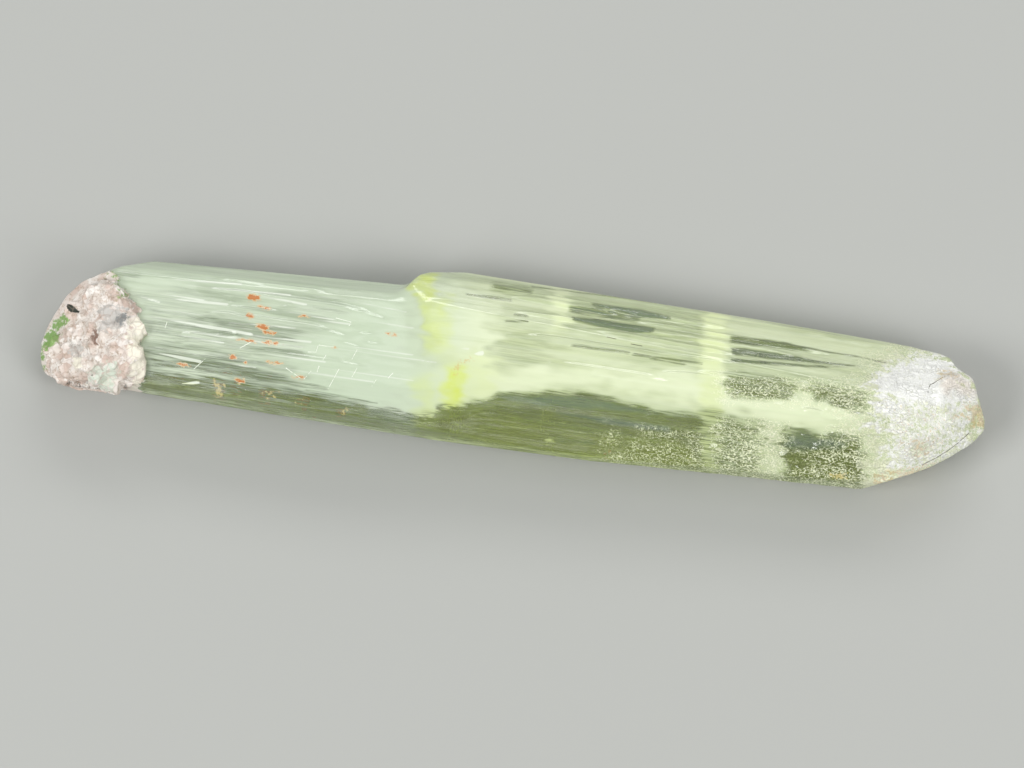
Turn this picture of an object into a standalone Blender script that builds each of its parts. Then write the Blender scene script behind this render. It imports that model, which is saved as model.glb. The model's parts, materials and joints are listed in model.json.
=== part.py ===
"""Green spodumene (hiddenite): one long, flat, striated crystal with a crust of feldspar rock on its root.

Lengths are in millimetres until they reach a mesh, and metres there. X runs along the crystal from
its root to its tip, Z is up, and the crystal lies on one of its two broad faces.
"""

import math
import random
from collections import namedtuple

import bmesh
import bpy
from mathutils import Matrix, Vector, noise

MM = 0.001

# The angles between the long faces follow from spodumene's cell
CELL_A = 9.46
CELL_B = 8.39
CELL_BETA = math.radians(110.2)


def lean_of(h, k):
    """Degrees between the broad face (100) and the long face (hk0)."""
    return math.degrees(math.atan2(k * CELL_A * math.sin(CELL_BETA), h * CELL_B))


BROAD = 0.0
GENTLE = lean_of(2, 1)
PRISM = lean_of(1, 1)
STEEP = lean_of(1, 3)
SIDE = 90.0

# A long face leans by so many degrees from straight up, towards the back if positive. It passes
# through (y, z) at the individual's first station, and through another (y, z) at its second one.
LongFace = namedtuple("LongFace", "name lean first second")

# An end face passes through a point, and its normal points out of the crystal
EndFace = namedtuple("EndFace", "point normal")

# Both ends are broken along one slanting direction, and their rims are plan points at RIM_HEIGHT
SLANT = Vector((0.061, -0.386, 0.9205)).normalized()
RIM_HEIGHT = 4.0

# The crystal is two individuals grown side by side: the root is the slimmer one, and it widens
# towards the step, where the tip individual takes over.
ROOT_STATIONS = (-36.0, -12.0)
ROOT_FACES = (
    LongFace("base", 180.0, (0.0, 0.0), (0.0, 0.0)),
    LongFace("broad", BROAD, (0.0, 8.30), (0.0, 8.85)),
    LongFace("front_prism", -PRISM, (-8.55, 5.75), (-8.95, 6.10)),
    LongFace("front_side", -SIDE, (-8.57, 3.0), (-8.95, 3.0)),
    LongFace("front_under", PRISM - 180.0, (-8.50, 2.9), (-8.85, 2.8)),
    LongFace("back_gentle", GENTLE, (2.10, 8.30), (2.90, 8.85)),
    LongFace("back_prism", PRISM, (3.30, 7.50), (4.45, 7.75)),
    LongFace("back_steep", STEEP, (4.70, 6.00), (5.90, 6.25)),
    LongFace("back_side", SIDE, (5.35, 3.6), (6.60, 4.2)),
    LongFace("back_under", 180.0 - PRISM, (5.30, 3.2), (6.55, 3.6)),
)
ROOT_RIM = (
    (-37.6, 5.3), (-39.9, 4.5), (-42.1, 3.3), (-43.8, 2.2), (-45.3, 0.2), (-46.15, -2.0),
    (-46.6, -3.3), (-46.9, -5.1), (-46.8, -6.5), (-46.4, -7.8), (-45.6, -8.9), (-44.6, -9.3),
)
ROOT_ENDS = (
    EndFace((-38.6, -4.0, 8.1), (-0.50, -0.22, 0.84)),
    EndFace((-44.5, -4.0, 0.0), (-0.50, 0.00, -0.87)),
    EndFace((-8.0, 2.0, 8.95), (0.10, 0.25, 0.96)),
    EndFace((-9.5, -8.9, 6.1), (0.13, -0.72, 0.68)),
    EndFace((-9.0, -8.97, 3.0), (0.03, -1.00, 0.00)),
    EndFace((2.0, -8.8, 4.0), (0.75, -0.50, 0.43)),
    EndFace((5.0, 0.0, 4.0), (1.00, 0.00, 0.00)),
)

TIP_STATIONS = (-6.0, 28.0)
LAST_SLOPE = (0.62, -0.12, 0.78)
TIP_FACES = (
    LongFace("base", 180.0, (0.0, 0.0), (0.0, 0.0)),
    LongFace("broad", BROAD, (0.0, 9.50), (0.0, 9.30)),
    LongFace("front_prism", -PRISM, (-8.85, 4.60), (-7.90, 4.30)),
    LongFace("front_side", -SIDE, (-8.88, 2.8), (-8.70, 2.6)),
    LongFace("front_taper", -SIDE, (-9.62, 2.5), (-7.83, 2.5)),
    LongFace("front_under", PRISM - 180.0, (-8.85, 2.5), (-7.80, 2.5)),
    LongFace("back_gentle", GENTLE, (3.00, 9.50), (1.20, 9.30)),
    LongFace("back_prism", PRISM, (6.90, 7.35), (6.20, 7.10)),
    LongFace("back_steep", STEEP, (8.55, 5.40), (8.10, 5.20)),
    LongFace("back_side", SIDE, (8.85, 3.6), (8.45, 3.6)),
    LongFace("back_under", 180.0 - PRISM, (8.75, 3.2), (8.35, 3.0)),
    LongFace("back_taper", STEEP + 4.0, (9.40, 4.8), (8.15, 4.9)),
)
STEP_RIM = ((-11.5, 6.8), (-11.1, 7.45), (-10.5, 8.15), (-9.6, 8.6), (-7.4, 8.95))
TIP_RIM = (
    (40.5, 8.0), (42.4, 7.8), (43.9, 7.2), (45.8, 5.7), (47.7, 1.4), (47.85, 0.2),
    (46.9, -1.3), (44.75, -3.3), (42.6, -4.9), (37.5, -7.6),
)
TIP_ENDS = (
    EndFace((-10.9, 5.0, 8.8), (-0.72, 0.28, 0.64)),
    EndFace((-9.4, 0.0, 9.1), (-0.52, -0.10, 0.85)),
    EndFace((-6.0, -8.0, 6.0), (-0.72, -0.55, 0.42)),
    EndFace((-11.6, 0.0, 4.0), (-1.00, 0.00, 0.00)),
    EndFace((37.5, 0.0, 9.25), (0.20, 0.00, 0.98)),
    EndFace((41.5, -1.0, 8.4), (0.40, -0.10, 0.91)),
    EndFace((44.5, 0.0, 7.0), LAST_SLOPE),
    EndFace((45.9, -3.3, 3.8), (0.52, -0.68, 0.52)),
    EndFace((43.8, 0.0, 0.0), (0.62, 0.00, -0.78)),
)
BLOCK = 200.0

# The step in the tip's back rim: plan points of its two walls
NOTCH_WALLS = ((43.3, 7.4), (44.1, 6.5), (45.9, 5.6))

# The flake that lifts from the termination's steepest face: its middle, radii, depth and height
Flake = namedtuple("Flake", "middle radii depth rise")
TIP_FLAKE = Flake((44.9, 1.9, 6.97), (3.0, 2.8), 1.2, 0.18)

# Growth steps: long thin laths that stand a little proud of a long face
Steps = namedtuple("Steps", "owner face count reach along across wide tall")
GROWTH_STEPS = (
    Steps("root", "broad", 8, (-35.0, -11.0), (10.0, 22.0), (0.08, 0.92), (0.7, 2.2), (0.12, 0.26)),
    Steps("root", "front_prism", 3, (-35.0, -9.0), (9.0, 20.0), (0.2, 0.8), (0.5, 1.0), (0.12, 0.20)),
    Steps("root", "back_gentle", 2, (-34.0, -13.0), (9.0, 17.0), (0.25, 0.75), (0.4, 0.7), (0.10, 0.18)),
    Steps("root", "back_side", 2, (-34.0, -13.0), (8.0, 15.0), (0.3, 0.7), (0.5, 0.9), (0.10, 0.18)),
    Steps("tip", "broad", 7, (-5.0, 34.0), (12.0, 28.0), (0.08, 0.92), (0.6, 1.8), (0.12, 0.28)),
    Steps("tip", "front_prism", 8, (-3.0, 33.0), (10.0, 24.0), (0.08, 0.92), (0.5, 1.4), (0.12, 0.28)),
    Steps("tip", "back_gentle", 6, (-6.0, 40.0), (13.0, 30.0), (0.08, 0.92), (0.5, 1.1), (0.14, 0.32)),
    Steps("tip", "back_prism", 3, (-6.0, 38.0), (12.0, 26.0), (0.15, 0.85), (0.5, 1.0), (0.10, 0.20)),
    Steps("tip", "back_side", 3, (-4.0, 34.0), (10.0, 22.0), (0.2, 0.8), (0.5, 0.9), (0.10, 0.18)),
)
FOOT = (0.5, 1.1)
LATH_SLOPE = 0.14
LATH_NOSE = 0.24

# Etch hillocks: low lozenges that stand on the tip's faces, crowded towards the termination
Hillocks = namedtuple("Hillocks", "face count reach long wide tall")
ETCH_HILLOCKS = (
    Hillocks("broad", 26, (19.0, 37.0), (1.8, 4.2), (0.7, 1.5), (0.14, 0.32)),
    Hillocks("front_prism", 34, (16.0, 38.0), (1.6, 3.8), (0.7, 1.4), (0.14, 0.34)),
)

# Etch pits: slots and lozenge hollows along the cleavage, on the root's broad and front faces
Pits = namedtuple("Pits", "face count reach across turns long wide deep")
ETCH_PITS = (
    Pits("broad", 14, (-31.0, -13.0), (0.12, 0.90), (0.0, 0.0, 58.0), (0.9, 2.0), (0.30, 0.50), (0.25, 0.45)),
    Pits("front_prism", 4, (-31.0, -13.0), (0.2, 0.8), (0.0, 0.0), (0.9, 1.8), (0.30, 0.45), (0.25, 0.40)),
)
PIT_TOP = 0.8

# The rock is a crust over the root's broken face and its front edge: plan points of its rim, how far
# it stands over the crystal at its edge and in its middle, and how far it would reach below
GAP = 0.3
ROCK_RIM = (
    (-40.4, 2.6), (-42.3, 2.1), (-43.5, 1.5), (-44.9, -0.4), (-45.4, -1.5), (-44.6, -2.3),
    (-45.4, -3.9), (-46.2, -5.7), (-46.2, -7.8), (-45.4, -8.9), (-43.2, -9.5), (-42.3, -9.8),
    (-41.5, -9.5), (-39.2, -9.4), (-38.3, -8.9), (-36.4, -8.8), (-35.6, -7.3), (-35.8, -5.6),
    (-36.4, -4.2), (-37.4, -3.9), (-36.6, -3.2), (-36.4, -1.8), (-37.9, -0.3), (-39.2, 1.6),
)
ROCK_MIDDLE = (-41.2, -3.7)
ROCK_LIP = 0.6
ROCK_DOME = 1.3
ROCK_FOOT = 1.5
ROCK_LOW = 0.5
ROCK_LUMP = 0.9
ROCK_CELL = 1.9
ROCK_CHIPS = 34
ROCK_CHIP_HALF = (0.6, 1.2)
ROCK_CHIP_OVER = 0.1

PALE_GREEN = (0.62, 0.78, 0.50)
ROCK_PINK = (0.72, 0.60, 0.55)


def clear_scene():
    """Removes every object that the file opened with."""
    for obj in list(bpy.data.objects):
        bpy.data.objects.remove(obj)


def make_collection(name, helper=False):
    """A collection in the scene; a helper one is left out of renders."""
    collection = bpy.data.collections.new(name)
    bpy.context.scene.collection.children.link(collection)
    collection.hide_render = helper
    return collection


def make_object(name, bm, collection, place=None):
    """An object that holds the bmesh, scaled from millimetres to metres, where place puts it."""
    bmesh.ops.scale(bm, vec=(MM, MM, MM), verts=bm.verts)
    bmesh.ops.recalc_face_normals(bm, faces=bm.faces)
    mesh = bpy.data.meshes.new(name)
    bm.to_mesh(mesh)
    bm.free()
    obj = bpy.data.objects.new(name, mesh)
    collection.objects.link(obj)
    if place is not None:
        obj.location = place.to_translation() * MM
        obj.rotation_euler = place.to_euler()
    if collection.hide_render:
        obj.hide_render = True
        obj.display_type = "WIRE"
    return obj


def make_material(name, colour, roughness, transmission=0.0, ior=1.5):
    """A Principled material with plain values."""
    material = bpy.data.materials.new(name)
    material.use_nodes = True
    shader = material.node_tree.nodes["Principled BSDF"]
    shader.inputs["Base Color"].default_value = (*colour, 1.0)
    shader.inputs["Roughness"].default_value = roughness
    shader.inputs["Metallic"].default_value = 0.0
    shader.inputs["Transmission Weight"].default_value = transmission
    shader.inputs["IOR"].default_value = ior
    material.diffuse_color = (*colour, 1.0)
    return material


def long_plane(face, stations):
    """The (point, normal) of a long face through its two stations."""
    lean = math.radians(face.lean)
    sine, cosine = math.sin(lean), math.cos(lean)
    first = sine * face.first[0] + cosine * face.first[1]
    second = sine * face.second[0] + cosine * face.second[1]
    slope = (first - second) / (stations[1] - stations[0])
    point = Vector((stations[0], *face.first))
    return point, Vector((slope, sine, cosine)).normalized()


def rim_planes(rim, inside):
    """Planes along the slant through each pair of rim points, facing away from a point inside."""
    planes = []
    for start, end in zip(rim, rim[1:]):
        point = Vector((*start, RIM_HEIGHT))
        normal = SLANT.cross(Vector((*end, RIM_HEIGHT)) - point).normalized()
        if (Vector(inside) - point).dot(normal) > 0:
            normal = -normal
        planes.append((point, normal))
    return planes


def planes_of(faces, stations, ends, rims):
    """Every plane of one individual as (point, normal) pairs, its long faces first."""
    planes = [long_plane(face, stations) for face in faces]
    planes += [(Vector(end.point), Vector(end.normal).normalized()) for end in ends]
    for rim in rims:
        planes += rim_planes(rim, (0.0, 0.0, RIM_HEIGHT))
    return planes


def clip(bm, planes, grow=0.0):
    """Cuts off what lies outside the planes, each moved outwards by grow, and closes the cuts."""
    for point, normal in planes:
        whole = bm.verts[:] + bm.edges[:] + bm.faces[:]
        cut = bmesh.ops.bisect_plane(
            bm, geom=whole, plane_co=point + normal * grow, plane_no=normal, clear_outer=True
        )
        rim = [item for item in cut["geom_cut"] if isinstance(item, bmesh.types.BMEdge)]
        if rim:
            bmesh.ops.edgeloop_fill(bm, edges=rim)


def cut_block(planes, grow=0.0, size=BLOCK, middle=(0.0, 0.0, 0.0)):
    """A block with every plane's outer side cut off."""
    bm = bmesh.new()
    bmesh.ops.create_cube(bm, size=size, matrix=Matrix.Translation(middle))
    clip(bm, planes, grow)
    return bm


def face_span(planes, index, x):
    """The two ends of a long face at a station x, where its neighbours cut it off."""
    point, normal = planes[index]
    across = normal.cross(Vector((1.0, 0.0, 0.0))).normalized()
    station = Vector((x, 0.0, 0.0))
    flat = Vector((0.0, normal.y, normal.z))
    start = station + flat * ((point - station).dot(normal) / flat.dot(normal))
    low, high = -BLOCK, BLOCK
    for other, (other_point, other_normal) in enumerate(planes):
        rate = across.dot(other_normal)
        if other == index or abs(rate) < 1e-6:
            continue
        limit = (other_point - start).dot(other_normal) / rate
        if rate > 0:
            high = min(high, limit)
        else:
            low = max(low, limit)
    return start + across * low, start + across * high


def spot_on(planes, index, x, share, turn=0.0):
    """A frame on a long face: X along the crystal, turned in the face, and Z out of it."""
    low, high = face_span(planes, index, x)
    normal = planes[index][1]
    along = (Vector((1.0, 0.0, 0.0)) - normal * normal.x).normalized()
    frame = Matrix((along, normal.cross(along), normal)).transposed().to_4x4()
    place = Matrix.Translation(low.lerp(high, share))
    return place @ frame @ Matrix.Rotation(math.radians(turn), 4, "Z")


def make_lath(length, width, height, foot):
    """A long low ridge that runs out to a point at both ends, with its foot below the face."""
    bm = bmesh.new()
    bmesh.ops.create_cube(bm, size=1.0)
    for cut in (-LATH_NOSE, LATH_NOSE):
        whole = bm.verts[:] + bm.edges[:] + bm.faces[:]
        bmesh.ops.bisect_plane(bm, geom=whole, plane_co=(cut, 0, 0), plane_no=(1, 0, 0))
    for vert in bm.verts:
        nose = abs(vert.co.x) > 0.4
        top = vert.co.z > 0
        half = width * (0.08 if nose else 0.5) - (LATH_SLOPE if top and not nose else 0.0)
        vert.co.x *= length
        vert.co.y = math.copysign(half, vert.co.y)
        vert.co.z = (-0.08 if nose else height) if top else -foot
    return bm


def make_hillock(length, width, height, foot):
    """A low hillock with six flanks, steeper towards the tip."""
    bm = bmesh.new()
    bmesh.ops.create_cone(bm, cap_ends=True, segments=6, radius1=1.0, radius2=0.4, depth=1.0)
    for vert in bm.verts:
        top = vert.co.z > 0
        vert.co.x = vert.co.x * length / 2 + (length * 0.1 if top else 0.0)
        vert.co.y *= width / 2
        vert.co.z = height if top else -foot
    return bm


def make_pit(length, width, depth):
    """The cutter of a slot whose floor rises along the crystal."""
    bm = bmesh.new()
    bmesh.ops.create_cube(bm, size=1.0)
    for vert in bm.verts:
        floor = vert.co.z < 0
        shallow = vert.co.x > 0
        vert.co.x *= length
        vert.co.y *= width * (0.7 if floor else 1.0)
        vert.co.z = -depth * (0.35 if shallow else 1.0) if floor else PIT_TOP
    return bm


def add_growth_steps(owners, collection, rng):
    """Fills a collection with the laths of every row of GROWTH_STEPS."""
    for steps in GROWTH_STEPS:
        planes, names = owners[steps.owner]
        index = names.index(steps.face)
        low, high = steps.across
        for number in range(steps.count):
            length = rng.uniform(*steps.along)
            room = max(steps.reach[1] - steps.reach[0] - length, 0.0)
            x = steps.reach[0] + length / 2 + rng.random() * room
            share = low + (high - low) * (number + rng.uniform(0.15, 0.85)) / steps.count
            width, height = rng.uniform(*steps.wide), rng.uniform(*steps.tall)
            lath = make_lath(length, width, height, rng.uniform(*FOOT))
            place = spot_on(planes, index, x, share, rng.uniform(-0.35, 0.35))
            make_object(f"step_{steps.owner}_{steps.face}_{number}", lath, collection, place)


def add_hillocks(owners, collection, rng):
    """Fills a collection with the tip's etch hillocks, crowded towards its end."""
    planes, names = owners["tip"]
    for hillocks in ETCH_HILLOCKS:
        index = names.index(hillocks.face)
        start, end = hillocks.reach
        for number in range(hillocks.count):
            x = start + math.sqrt(rng.random()) * (end - start)
            length, width = rng.uniform(*hillocks.long), rng.uniform(*hillocks.wide)
            hillock = make_hillock(length, width, rng.uniform(*hillocks.tall), rng.uniform(*FOOT))
            place = spot_on(planes, index, x, rng.uniform(0.10, 0.90), rng.uniform(-14.0, 14.0))
            make_object(f"hillock_{hillocks.face}_{number}", hillock, collection, place)


def add_flake(collection):
    """The thin flake on the termination, broken off at the tip's rim."""
    normal = Vector(LAST_SLOPE).normalized()
    top = Vector(TIP_FLAKE.middle) + normal * TIP_FLAKE.rise
    turned = normal.to_track_quat("Z", "Y").to_matrix().to_4x4()
    bm = bmesh.new()
    bmesh.ops.create_cone(bm, cap_ends=True, segments=11, radius1=1.0, radius2=0.92, depth=1.0)
    bmesh.ops.scale(bm, vec=(*TIP_FLAKE.radii, TIP_FLAKE.depth), verts=bm.verts)
    bm.transform(Matrix.Translation(top - normal * TIP_FLAKE.depth / 2) @ turned)
    clip(bm, rim_planes(TIP_RIM, (0.0, 0.0, RIM_HEIGHT)), -0.05)
    make_object("tip_flake", bm, collection)


def add_pits(owners, collection, rng):
    """Fills a collection with the cutters of the etch pits."""
    planes, names = owners["root"]
    for pits in ETCH_PITS:
        index = names.index(pits.face)
        low, high = pits.across
        for number in range(pits.count):
            x = rng.uniform(*pits.reach)
            share = low + (high - low) * (number + rng.random()) / pits.count
            pit = make_pit(rng.uniform(*pits.long), rng.uniform(*pits.wide), rng.uniform(*pits.deep))
            place = spot_on(planes, index, x, share, rng.choice(pits.turns))
            make_object(f"pit_{pits.face}_{number}", pit, collection, place)


def add_notch(collection):
    """The cutter of the step in the tip's back rim."""
    walls = rim_planes(NOTCH_WALLS, (60.0, 20.0, RIM_HEIGHT))
    notch = cut_block(walls, size=30.0, middle=(50.0, 16.0, RIM_HEIGHT))
    make_object("tip_notch", notch, collection)


def add_boolean(obj, name, operation, collection):
    """A Boolean of the object with a whole collection."""
    modifier = obj.modifiers.new(name, "BOOLEAN")
    modifier.operation = operation
    modifier.solver = "EXACT"
    modifier.operand_type = "COLLECTION"
    modifier.collection = collection


def build_crystal(owners, parts, rng):
    """The clear crystal: both individuals with their steps, hillocks, flake, pits and notch."""
    growths = make_collection("crystal_growths", helper=True)
    hollows = make_collection("crystal_hollows", helper=True)
    root_planes, tip_planes = owners["root"][0], owners["tip"][0]
    crystal = make_object("crystal", cut_block(root_planes), parts)
    make_object("tip_individual", cut_block(tip_planes), growths)
    add_growth_steps(owners, growths, rng)
    add_hillocks(owners, growths, rng)
    add_flake(growths)
    add_pits(owners, hollows, rng)
    add_notch(hollows)
    add_boolean(crystal, "grown_together", "UNION", growths)
    add_boolean(crystal, "etched", "DIFFERENCE", hollows)
    crystal.data.materials.append(make_material("spodumene", PALE_GREEN, 0.08, 0.9, 1.66))
    return crystal


def rim_radius(rim, middle, angle):
    """How far the rim lies from the middle in one direction of the plan."""
    way = Vector((math.cos(angle), math.sin(angle)))
    reach = 0.0
    for start, end in zip(rim, (*rim[1:], rim[0])):
        first, second = Vector(start) - middle, Vector(end) - middle
        side = second - first
        rate = way.cross(side)
        if abs(rate) < 1e-9:
            continue
        share = first.cross(way) / rate
        if 0.0 <= share <= 1.0:
            reach = max(reach, first.cross(side) / rate)
    return reach


def seat_of(planes, spot):
    """The point of the crystal's surface that lies over a spot of the plan, along the slant."""
    rise = min(
        (point - spot).dot(normal) / SLANT.dot(normal)
        for point, normal in planes
        if SLANT.dot(normal) > 0.05
    )
    return spot + SLANT * rise


def rock_point(planes, share, angle, height):
    """A point of the rock: a share of its rim radius out, and a height over the crystal."""
    middle = Vector(ROCK_MIDDLE)
    out = share * rim_radius(ROCK_RIM, middle, angle)
    spot = Vector((middle.x + out * math.cos(angle), middle.y + out * math.sin(angle), RIM_HEIGHT))
    spot = seat_of(planes, spot) + SLANT * height
    if spot.z < ROCK_LOW:
        spot += SLANT * ((ROCK_LOW - spot.z) / SLANT.z)
    return spot


def make_rock(planes):
    """A ball drawn out over the crystal to the rock's rim, with lumps the size of its grains."""
    bm = bmesh.new()
    bmesh.ops.create_icosphere(bm, subdivisions=4, radius=1.0)
    for vert in bm.verts:
        share = min(math.hypot(vert.co.x, vert.co.y), 1.0)
        angle = math.atan2(vert.co.y, vert.co.x)
        height = vert.co.z * (ROCK_DOME if vert.co.z > 0 else ROCK_FOOT)
        spot = rock_point(planes, share, angle, ROCK_LIP + height)
        if vert.co.z > -0.1:
            near = noise.voronoi(spot / ROCK_CELL)[0]
            spot += SLANT * (ROCK_LUMP * (near[1] - near[0] - 0.25) * min(1.0, 1.4 - share))
        vert.co = spot
    return bm


def chip_planes(centre, half, turns, rng):
    """The planes of an uneven block: six sides and eight cut corners."""
    turned = Matrix.Identity(3)
    for angle, axis in zip(turns, "XYZ"):
        turned = Matrix.Rotation(math.radians(angle), 3, axis) @ turned
    planes = []
    for axis in range(3):
        for sign in (-1, 1):
            normal = Vector([rng.uniform(-0.18, 0.18) for _ in range(3)])
            normal[axis] = sign
            normal = (turned @ normal).normalized()
            planes.append((centre + normal * half[axis], normal))
    for corner in ((x, y, z) for x in (-1, 1) for y in (-1, 1) for z in (-1, 1)):
        normal = Vector([sign / size for sign, size in zip(corner, half)]).normalized()
        reach = sum(abs(part) * size for part, size in zip(normal, half)) * rng.uniform(0.62, 0.84)
        normal = turned @ normal
        planes.append((centre + normal * reach, normal))
    return planes


def add_chips(planes, collection, rng):
    """Angular grains that stand out of the rock's face."""
    for number in range(ROCK_CHIPS):
        share = 0.86 * math.sqrt((number + 0.5) / ROCK_CHIPS)
        angle = number * math.pi * (3.0 - math.sqrt(5.0)) + rng.uniform(-0.2, 0.2)
        room = (1.0 - share) * rim_radius(ROCK_RIM, Vector(ROCK_MIDDLE), angle)
        size = min(rng.uniform(*ROCK_CHIP_HALF), room + ROCK_CHIP_OVER)
        half = [size * rng.uniform(0.75, 1.2) for _ in range(3)]
        height = ROCK_LIP + ROCK_DOME * math.sqrt(1.0 - share * share) - size * 0.8
        centre = rock_point(planes, share, angle, height)
        turns = [rng.uniform(0.0, 90.0) for _ in range(3)]
        chip = cut_block(chip_planes(centre, half, turns, rng), size=20.0, middle=centre)
        make_object(f"rock_chip_{number}", chip, collection)


def build_rock(owners, parts, rng):
    """The feldspar crust, cut clear of the crystal that it sits on."""
    chips = make_collection("rock_chips", helper=True)
    cutters = make_collection("rock_cutters", helper=True)
    planes = owners["root"][0]
    rock = make_object("matrix", make_rock(planes), parts)
    add_chips(planes, chips, rng)
    make_object("crystal_room", cut_block(planes, GAP), cutters)
    add_boolean(rock, "grains", "UNION", chips)
    add_boolean(rock, "clearance", "DIFFERENCE", cutters)
    rock.data.materials.append(make_material("feldspar_rock", ROCK_PINK, 0.75))
    return rock


def stand_on_origin(objects):
    """Moves everything so that the object's box stands on the origin, centred in X and Y."""
    bpy.context.view_layer.update()
    graph = bpy.context.evaluated_depsgraph_get()
    corners = [Vector(corner) for obj in objects for corner in obj.evaluated_get(graph).bound_box]
    low = Vector([min(corner[axis] for corner in corners) for axis in range(3)])
    high = Vector([max(corner[axis] for corner in corners) for axis in range(3)])
    shift = Vector((-(low.x + high.x) / 2, -(low.y + high.y) / 2, -low.z))
    for obj in bpy.data.objects:
        obj.location += shift


def main():
    clear_scene()
    rng = random.Random(17)
    parts = make_collection("hiddenite")
    owners = {
        "root": (
            planes_of(ROOT_FACES, ROOT_STATIONS, ROOT_ENDS, (ROOT_RIM,)),
            [face.name for face in ROOT_FACES],
        ),
        "tip": (
            planes_of(TIP_FACES, TIP_STATIONS, TIP_ENDS, (STEP_RIM, TIP_RIM)),
            [face.name for face in TIP_FACES],
        ),
    }
    crystal = build_crystal(owners, parts, rng)
    rock = build_rock(owners, parts, rng)
    stand_on_origin([crystal, rock])


main()
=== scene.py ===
"""Looks of a hiddenite crystal: a long, striated prism of pale green spodumene with a rock crust on its root.

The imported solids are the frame. The crystal's own body is remeshed over its solid and carved with growth
striations, etch figures and worn edges. Iron stains, silk and healed fractures lie inside it, and the
feldspar crust is grown over the rock's solid. Lengths are in millimetres until they reach a mesh.
"""

import json
import logging
import math
import random
from collections.abc import Callable
from dataclasses import dataclass, field
from enum import Enum

import bpy
import numpy as np
from mathutils import Matrix, Vector, noise
from mathutils.bvhtree import BVHTree

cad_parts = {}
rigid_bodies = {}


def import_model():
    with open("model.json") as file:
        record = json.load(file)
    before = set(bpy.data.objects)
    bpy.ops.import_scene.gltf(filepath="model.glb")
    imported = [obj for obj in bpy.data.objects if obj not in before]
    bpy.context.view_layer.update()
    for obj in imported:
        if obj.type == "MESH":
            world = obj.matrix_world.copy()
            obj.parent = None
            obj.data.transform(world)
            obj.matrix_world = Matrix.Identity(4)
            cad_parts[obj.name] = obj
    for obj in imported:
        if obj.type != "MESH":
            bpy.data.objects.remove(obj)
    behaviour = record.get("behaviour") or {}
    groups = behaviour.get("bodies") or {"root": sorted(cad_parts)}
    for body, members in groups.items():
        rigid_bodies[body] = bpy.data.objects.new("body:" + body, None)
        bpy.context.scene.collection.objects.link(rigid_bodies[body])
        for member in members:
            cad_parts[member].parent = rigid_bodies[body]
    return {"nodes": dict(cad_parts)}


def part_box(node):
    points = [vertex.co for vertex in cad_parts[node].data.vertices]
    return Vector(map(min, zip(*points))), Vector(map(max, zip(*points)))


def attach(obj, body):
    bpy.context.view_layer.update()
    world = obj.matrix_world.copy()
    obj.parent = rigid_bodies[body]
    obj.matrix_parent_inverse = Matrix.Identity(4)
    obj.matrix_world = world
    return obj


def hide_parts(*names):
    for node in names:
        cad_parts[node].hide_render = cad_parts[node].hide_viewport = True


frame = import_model()
log = logging.getLogger("hiddenite")

MM = 0.001
BODY = "root"
Colour = tuple[float, float, float, float]
Cell = tuple[float, float, float]
Spot = tuple[float, float]
Path = tuple[Spot, ...]


def linear(code: str) -> Colour:
    """Turns an sRGB hex colour into a linear one.

    Args:
        code: Six hex digits, such as "C8D6B0".

    Returns:
        Red, green, blue and an alpha of 1.
    """
    parts = [int(code[i : i + 2], 16) / 255 for i in (0, 2, 4)]
    red, green, blue = (p / 12.92 if p <= 0.04045 else ((p + 0.055) / 1.055) ** 2.4 for p in parts)
    return red, green, blue, 1.0


def ramp(value: np.ndarray, low: float, high: float) -> np.ndarray:
    """Rises smoothly from 0 at low to 1 at high.

    Args:
        value: The values to map.
        low: Where the result is 0.
        high: Where the result is 1; it may be under low.

    Returns:
        Values from 0 to 1.
    """
    share = np.clip((value - low) / (high - low), 0.0, 1.0)
    return share * share * (3.0 - 2.0 * share)


@dataclass(frozen=True)
class Relief:
    """Smooth noise: its cells' size, a seed that picks its part, and how deep it goes."""

    cell: Cell
    seed: float
    depth: float = 1.0

    def wave(self, points: np.ndarray) -> np.ndarray:
        """The bare noise at rows of x, y, z in millimetres, from about -1 to 1."""
        return np.array([noise.noise(Vector(row)) for row in points / np.array(self.cell) + self.seed])

    def scaled(self, points: np.ndarray, rest: float = 0.0) -> np.ndarray:
        """The depth times the noise, after rest is added to it."""
        return self.depth * (self.wave(points) + rest)


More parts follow.
